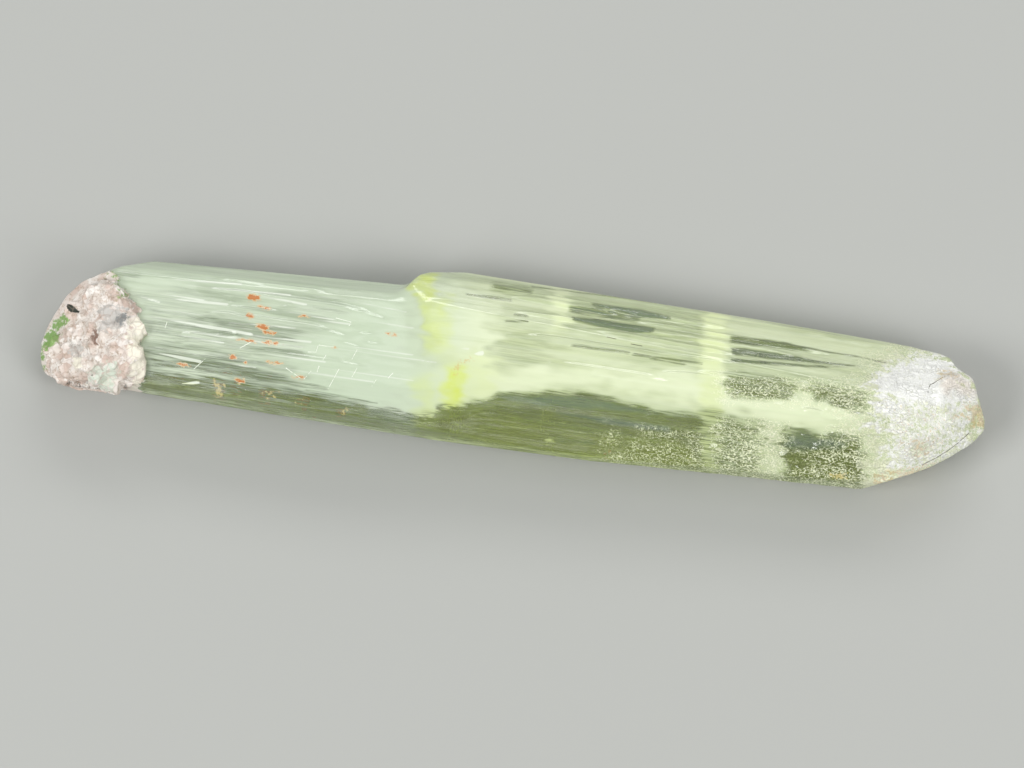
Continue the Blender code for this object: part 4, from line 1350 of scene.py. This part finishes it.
@dataclass
class Inclusions:
    """What lies in and on the crystal: silk, rust flakes, healed fractures, etch channels and cracks."""

    crystal: bpy.types.Object
    ior: float = Spodumene.ior
    # The thinnest stone that holds anything
    least: float = 0.8
    # Real silk is some thousandths of a millimetre wide; it is drawn as coarse as it needs to show
    needles: int = 300
    needle_radius: Spot = (0.010, 0.022)
    needle_length: Spot = (1.5, 8.0)
    # Stretches of the view that hold silk: left and right ends, lower and upper ends, and their slope
    silk_areas: tuple[tuple[Spot, Spot, float], ...] = (
        ((-37, -10), (-2.4, 1.0), -FALL), ((-6, 20), (-8.0, -1.2), -0.10), ((20, 35), (-9.0, 0.0), -0.06),
    )
    # Swarms of rust in the view: middle, spread and how many
    swarms: tuple[tuple[Spot, Spot, int], ...] = (
        ((-29.2, 0.0), (0.6, 0.4), 5), ((-29.0, -0.9), (0.7, 0.6), 8), ((-24.0, -1.3), (0.9, 0.5), 6),
        ((-21.2, -1.6), (0.5, 0.4), 4), ((-16.9, -3.0), (0.4, 0.5), 4), ((-20.0, -3.3), (0.5, 0.15), 3),
        ((-27.2, 0.2), (0.7, 0.3), 4), ((-33.0, 1.8), (0.8, 0.2), 3), ((9.2, -7.5), (0.5, 0.1), 2),
    )
    # Healed fractures in the view: middle and half width, and lower and upper ends
    platelets: int = 420
    platelet_size: Spot = (0.10, 0.34)
    veils: tuple[tuple[Spot, Spot], ...] = (
        ((3.6, 0.8), (-7.2, 9.2)), ((19.8, 0.9), (-9.6, 7.8)), ((-5.8, 0.6), (-6.0, 1.6)),
    )
    # Bars along channels and cracks: width, longest step, overlap, and how deep the middle lies over width
    line_width: float = 0.10
    line_step: float = 0.35
    line_overlap: float = 1.15
    line_depth: float = 0.30
    tree: BVHTree = field(init=False)

    def __post_init__(self) -> None:
        """Makes the crystal's surface ready for seeking."""
        self.tree = BVHTree.FromObject(self.crystal, bpy.context.evaluated_depsgraph_get())

    def enter(self, across: float, up: float) -> tuple[Vector, Vector, Vector, float] | None:
        """Follows the view through a spot into the crystal.

        Args:
            across: How far right of the view's middle the spot is.
            up: How far above the view's middle the spot is.

        Returns:
            Where the ray enters, the surface's normal, the bent way on and its length, or None.
        """
        eye, way = SIGHT.ray(across, up)
        hit, normal, _, _ = self.tree.ray_cast(eye, way)
        if hit is None:
            return None
        ratio, lean = 1.0 / self.ior, -way.dot(normal)
        bent = way * ratio + normal * (ratio * lean - math.sqrt(1.0 - ratio * ratio * (1.0 - lean * lean)))
        far = self.tree.ray_cast(hit + bent * 1e-5, bent)[3]
        return hit, normal, bent, far or 0.0

    def spot(self, across: float, up: float, share: float) -> Vector | None:
        """A place inside the crystal, at a share of the way through, that shows at a spot in the view."""
        entry = self.enter(across, up)
        return None if entry is None or entry[3] < self.least * MM else entry[0] + entry[2] * entry[3] * share

    def silk(self) -> bpy.types.Object:
        """Hair-thin pale needles along the crystal, in its clear parts.

        Returns:
            The piece.
        """
        pattern = Bench.rod(5, 1.0, 1.0)
        Bench.taper(pattern, 0.25)
        Bench.chamfer(pattern, 0.06)
        dice = random.Random(21)
        places = []
        for index in range(self.needles):
            # The first two stretches get two fifths of the needles each, and the last one fifth
            (left, right), (low, high), slope = self.silk_areas[index * 5 // (2 * self.needles)]
            across = dice.uniform(left, right)
            up = dice.uniform(low, high) + slope * (across - left)
            place = self.spot(across, up, dice.uniform(0.08, 0.92))
            if place is None:
                continue
            wide, length = dice.uniform(*self.needle_radius) * MM, dice.uniform(*self.needle_length) * MM
            turn = Matrix.Rotation(math.radians(90 + dice.uniform(-0.7, 0.7)), 4, "Y")
            places.append(Matrix.Translation(place) @ turn @ Matrix.Diagonal((wide, wide, length, 1.0)))
        return self.dress("silk", pattern, places, SILK)

    def rust(self) -> bpy.types.Object:
        """Ragged flakes of iron oxide inside the root half's clear bevel.

        Returns:
            The piece.
        """
        pattern = Bench.rod(9, 0.5, 0.16)
        for vertex in pattern.data.vertices:
            reach = 0.75 + 0.5 * noise.noise(vertex.co * 3.1)
            vertex.co.x *= reach
            vertex.co.y *= reach
        Bench.chamfer(pattern, 0.03)
        dice = random.Random(33)
        places = []
        for middle, spread, count in self.swarms:
            for _ in range(count):
                across = dice.gauss(middle[0], spread[0] * 0.6)
                up = dice.gauss(middle[1], spread[1] * 0.6)
                place = self.spot(across, up, dice.uniform(0.05, 0.45))
                if place is not None:
                    size = (dice.uniform(0.4, 1.1) * MM, dice.uniform(0.2, 0.5) * MM, 0.3 * MM, 1.0)
                    turn = Matrix.Rotation(dice.uniform(-0.5, 0.5), 4, "X")
                    places.append(Matrix.Translation(place) @ turn @ Matrix.Diagonal(size))
        return self.dress("rust_flakes", pattern, places, OXIDE)

    def fractures(self) -> bpy.types.Object:
        """Healed fractures: veils of tiny platelets that cross the crystal.

        Returns:
            The piece.
        """
        pattern = Bench.rod(6, 0.5, 0.10)
        Bench.chamfer(pattern, 0.02)
        dice = random.Random(45)
        places = []
        for index in range(self.platelets):
            (middle, half), (low, high) = self.veils[index % len(self.veils)]
            across, up = dice.uniform(middle - half, middle + half), dice.uniform(low, high)
            place = self.spot(across, up, dice.uniform(0.05, 0.95))
            if place is not None:
                size = Matrix.Scale(dice.uniform(*self.platelet_size) * MM, 4)
                turn = Matrix.Rotation(math.radians(90 + dice.uniform(-25, 25)), 4, "Y")
                spin = Matrix.Rotation(dice.uniform(0, math.tau), 4, "X")
                places.append(Matrix.Translation(place) @ spin @ turn @ size)
        return self.dress("healed_fractures", pattern, places, VEIL)

    def lines(self, name: str, paths: tuple[Path, ...], finish: Grain) -> bpy.types.Object:
        """Thin bars laid along lines on the surface, more than half sunk in it.

        Args:
            name: The piece's name.
            paths: The lines' corners in the view.
            finish: The finish.

        Returns:
            The piece.
        """
        pattern = Bench.rod(6, 0.5, 1.0)
        Bench.chamfer(pattern, 0.06)
        wide = self.line_width * MM
        places = []
        for start, end in (pair for path in paths for pair in zip(path, path[1:])):
            steps = max(1, round(math.dist(start, end) / self.line_step))
            shares = [step / steps for step in range(steps + 1)]
            spots = [[a + (b - a) * share for a, b in zip(start, end)] for share in shares]
            hits = [entry for entry in (self.enter(*spot) for spot in spots) if entry is not None]
            sunk = [hit - normal * self.line_depth * wide for hit, normal, _, _ in hits]
            for here, there in zip(sunk, sunk[1:]):
                way = there - here
                turn = way.to_track_quat("Z", "Y").to_matrix().to_4x4()
                size = Matrix.Diagonal((wide, wide, way.length * self.line_overlap, 1.0))
                places.append(Matrix.Translation((here + there) / 2) @ turn @ size)
        return self.dress(name, pattern, places, finish)

    def dress(
        self, name: str, pattern: bpy.types.Object, places: list[Matrix], finish: Grain
    ) -> bpy.types.Object:
        """Joins the copies of a shape, and gives them their finish.

        Args:
            name: The piece's name.
            pattern: The shape.
            places: Where its copies go.
            finish: The finish.

        Returns:
            The piece.
        """
        obj = Bench.scatter(name, pattern, places)
        obj.data.materials.append(finish.make())
        Bench.finish(obj, "crystal", smooth=False)
        return obj

    def build(self) -> None:
        """Builds every kind."""
        self.silk()
        self.rust()
        self.fractures()
        self.lines("etch_channels", CHANNELS, CHANNEL_EDGE)
        self.lines("hair_cracks", CRACKS, CRACK_SHADOW)


@dataclass(frozen=True)
class Light:
    """A soft white light: where it stands and its size, in metres, and its power."""

    name: str
    place: tuple[float, float, float]
    size: Spot
    power: float

    def make(self) -> None:
        """Adds the light, pointed at the crystal and not to be seen through it."""
        data = bpy.data.lights.new(self.name, "AREA")
        data.shape = "RECTANGLE"
        data.size, data.size_y = self.size
        data.energy = self.power
        light = bpy.data.objects.new(self.name, data)
        light.location = self.place
        light.rotation_euler = (-Vector(self.place)).to_track_quat("-Z", "Y").to_euler()
        light.visible_transmission = False
        bpy.context.scene.collection.objects.link(light)


@dataclass
class Studio:
    """A plain pale floor, plain soft lights and a soft surround."""

    # Uncoated grey paper: matt and even, with hardly any change of tone
    paper: str = "B4B5B1"
    paper_shade: str = "A9AAA6"
    paper_clouds: Cell = (90.0, 90.0, 90.0)
    paper_rough: float = 0.9
    # The floor's side in metres, and how far under the crystal it lies
    floor_side: float = 4.0
    floor_drop: float = 0.05
    surround: str = "C4C6C6"
    strength: float = 0.74
    lights: tuple[Light, ...] = (
        Light("key", (-0.50, -0.48, 0.62), (0.50, 0.40), 4.8),
        Light("back", (0.10, 0.60, 0.45), (0.80, 0.20), 2.0),
        Light("fill", (0.58, -0.36, 0.60), (0.40, 0.40), 2.9),
        Light("glint_top", (-0.05, 0.37, 0.87), (0.45, 0.022), 0.12),
        Light("glint_front", (0.0, -0.90, 0.32), (0.45, 0.030), 0.06),
        Light("glint_back", (0.0, 0.93, 0.20), (0.45, 0.024), 0.12),
    )

    def build(self) -> None:
        """Builds the floor, the lights and the surround."""
        bpy.ops.mesh.primitive_plane_add(size=self.floor_side, location=(0.0, 0.0, -self.floor_drop * MM))
        floor = bpy.context.active_object
        floor.name = "floor"
        shade = Shade("floor_paper")
        tone = shade.add(Knot.SPAN, shade.pattern(Knot.NOISE, self.paper_clouds, 2.0, 0.5), 0.3, 0.7, 0.0, 0.08)
        colour = shade.add(Knot.MIX, tone, self.paper, self.paper_shade)
        floor.data.materials.append(shade.dress(Base_Color=colour, Roughness=self.paper_rough))
        for light in self.lights:
            light.make()
        world = bpy.data.worlds.new("surround")
        world.use_nodes = True
        sky = world.node_tree.nodes["Background"]
        sky.inputs["Color"].default_value = linear(self.surround)
        sky.inputs["Strength"].default_value = self.strength
        bpy.context.scene.world = world
        bpy.context.scene.view_settings.view_transform = "Standard"


def main() -> None:
    """Builds every part of the scene in order."""
    logging.basicConfig(level=logging.INFO, format="%(name)s %(message)s")
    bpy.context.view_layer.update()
    SIGHT.camera()
    Studio().build()
    crystal = CrystalBody().build()
    RockCrust().build(crystal)
    Inclusions(crystal).build()


if __name__ == "__main__":
    main()
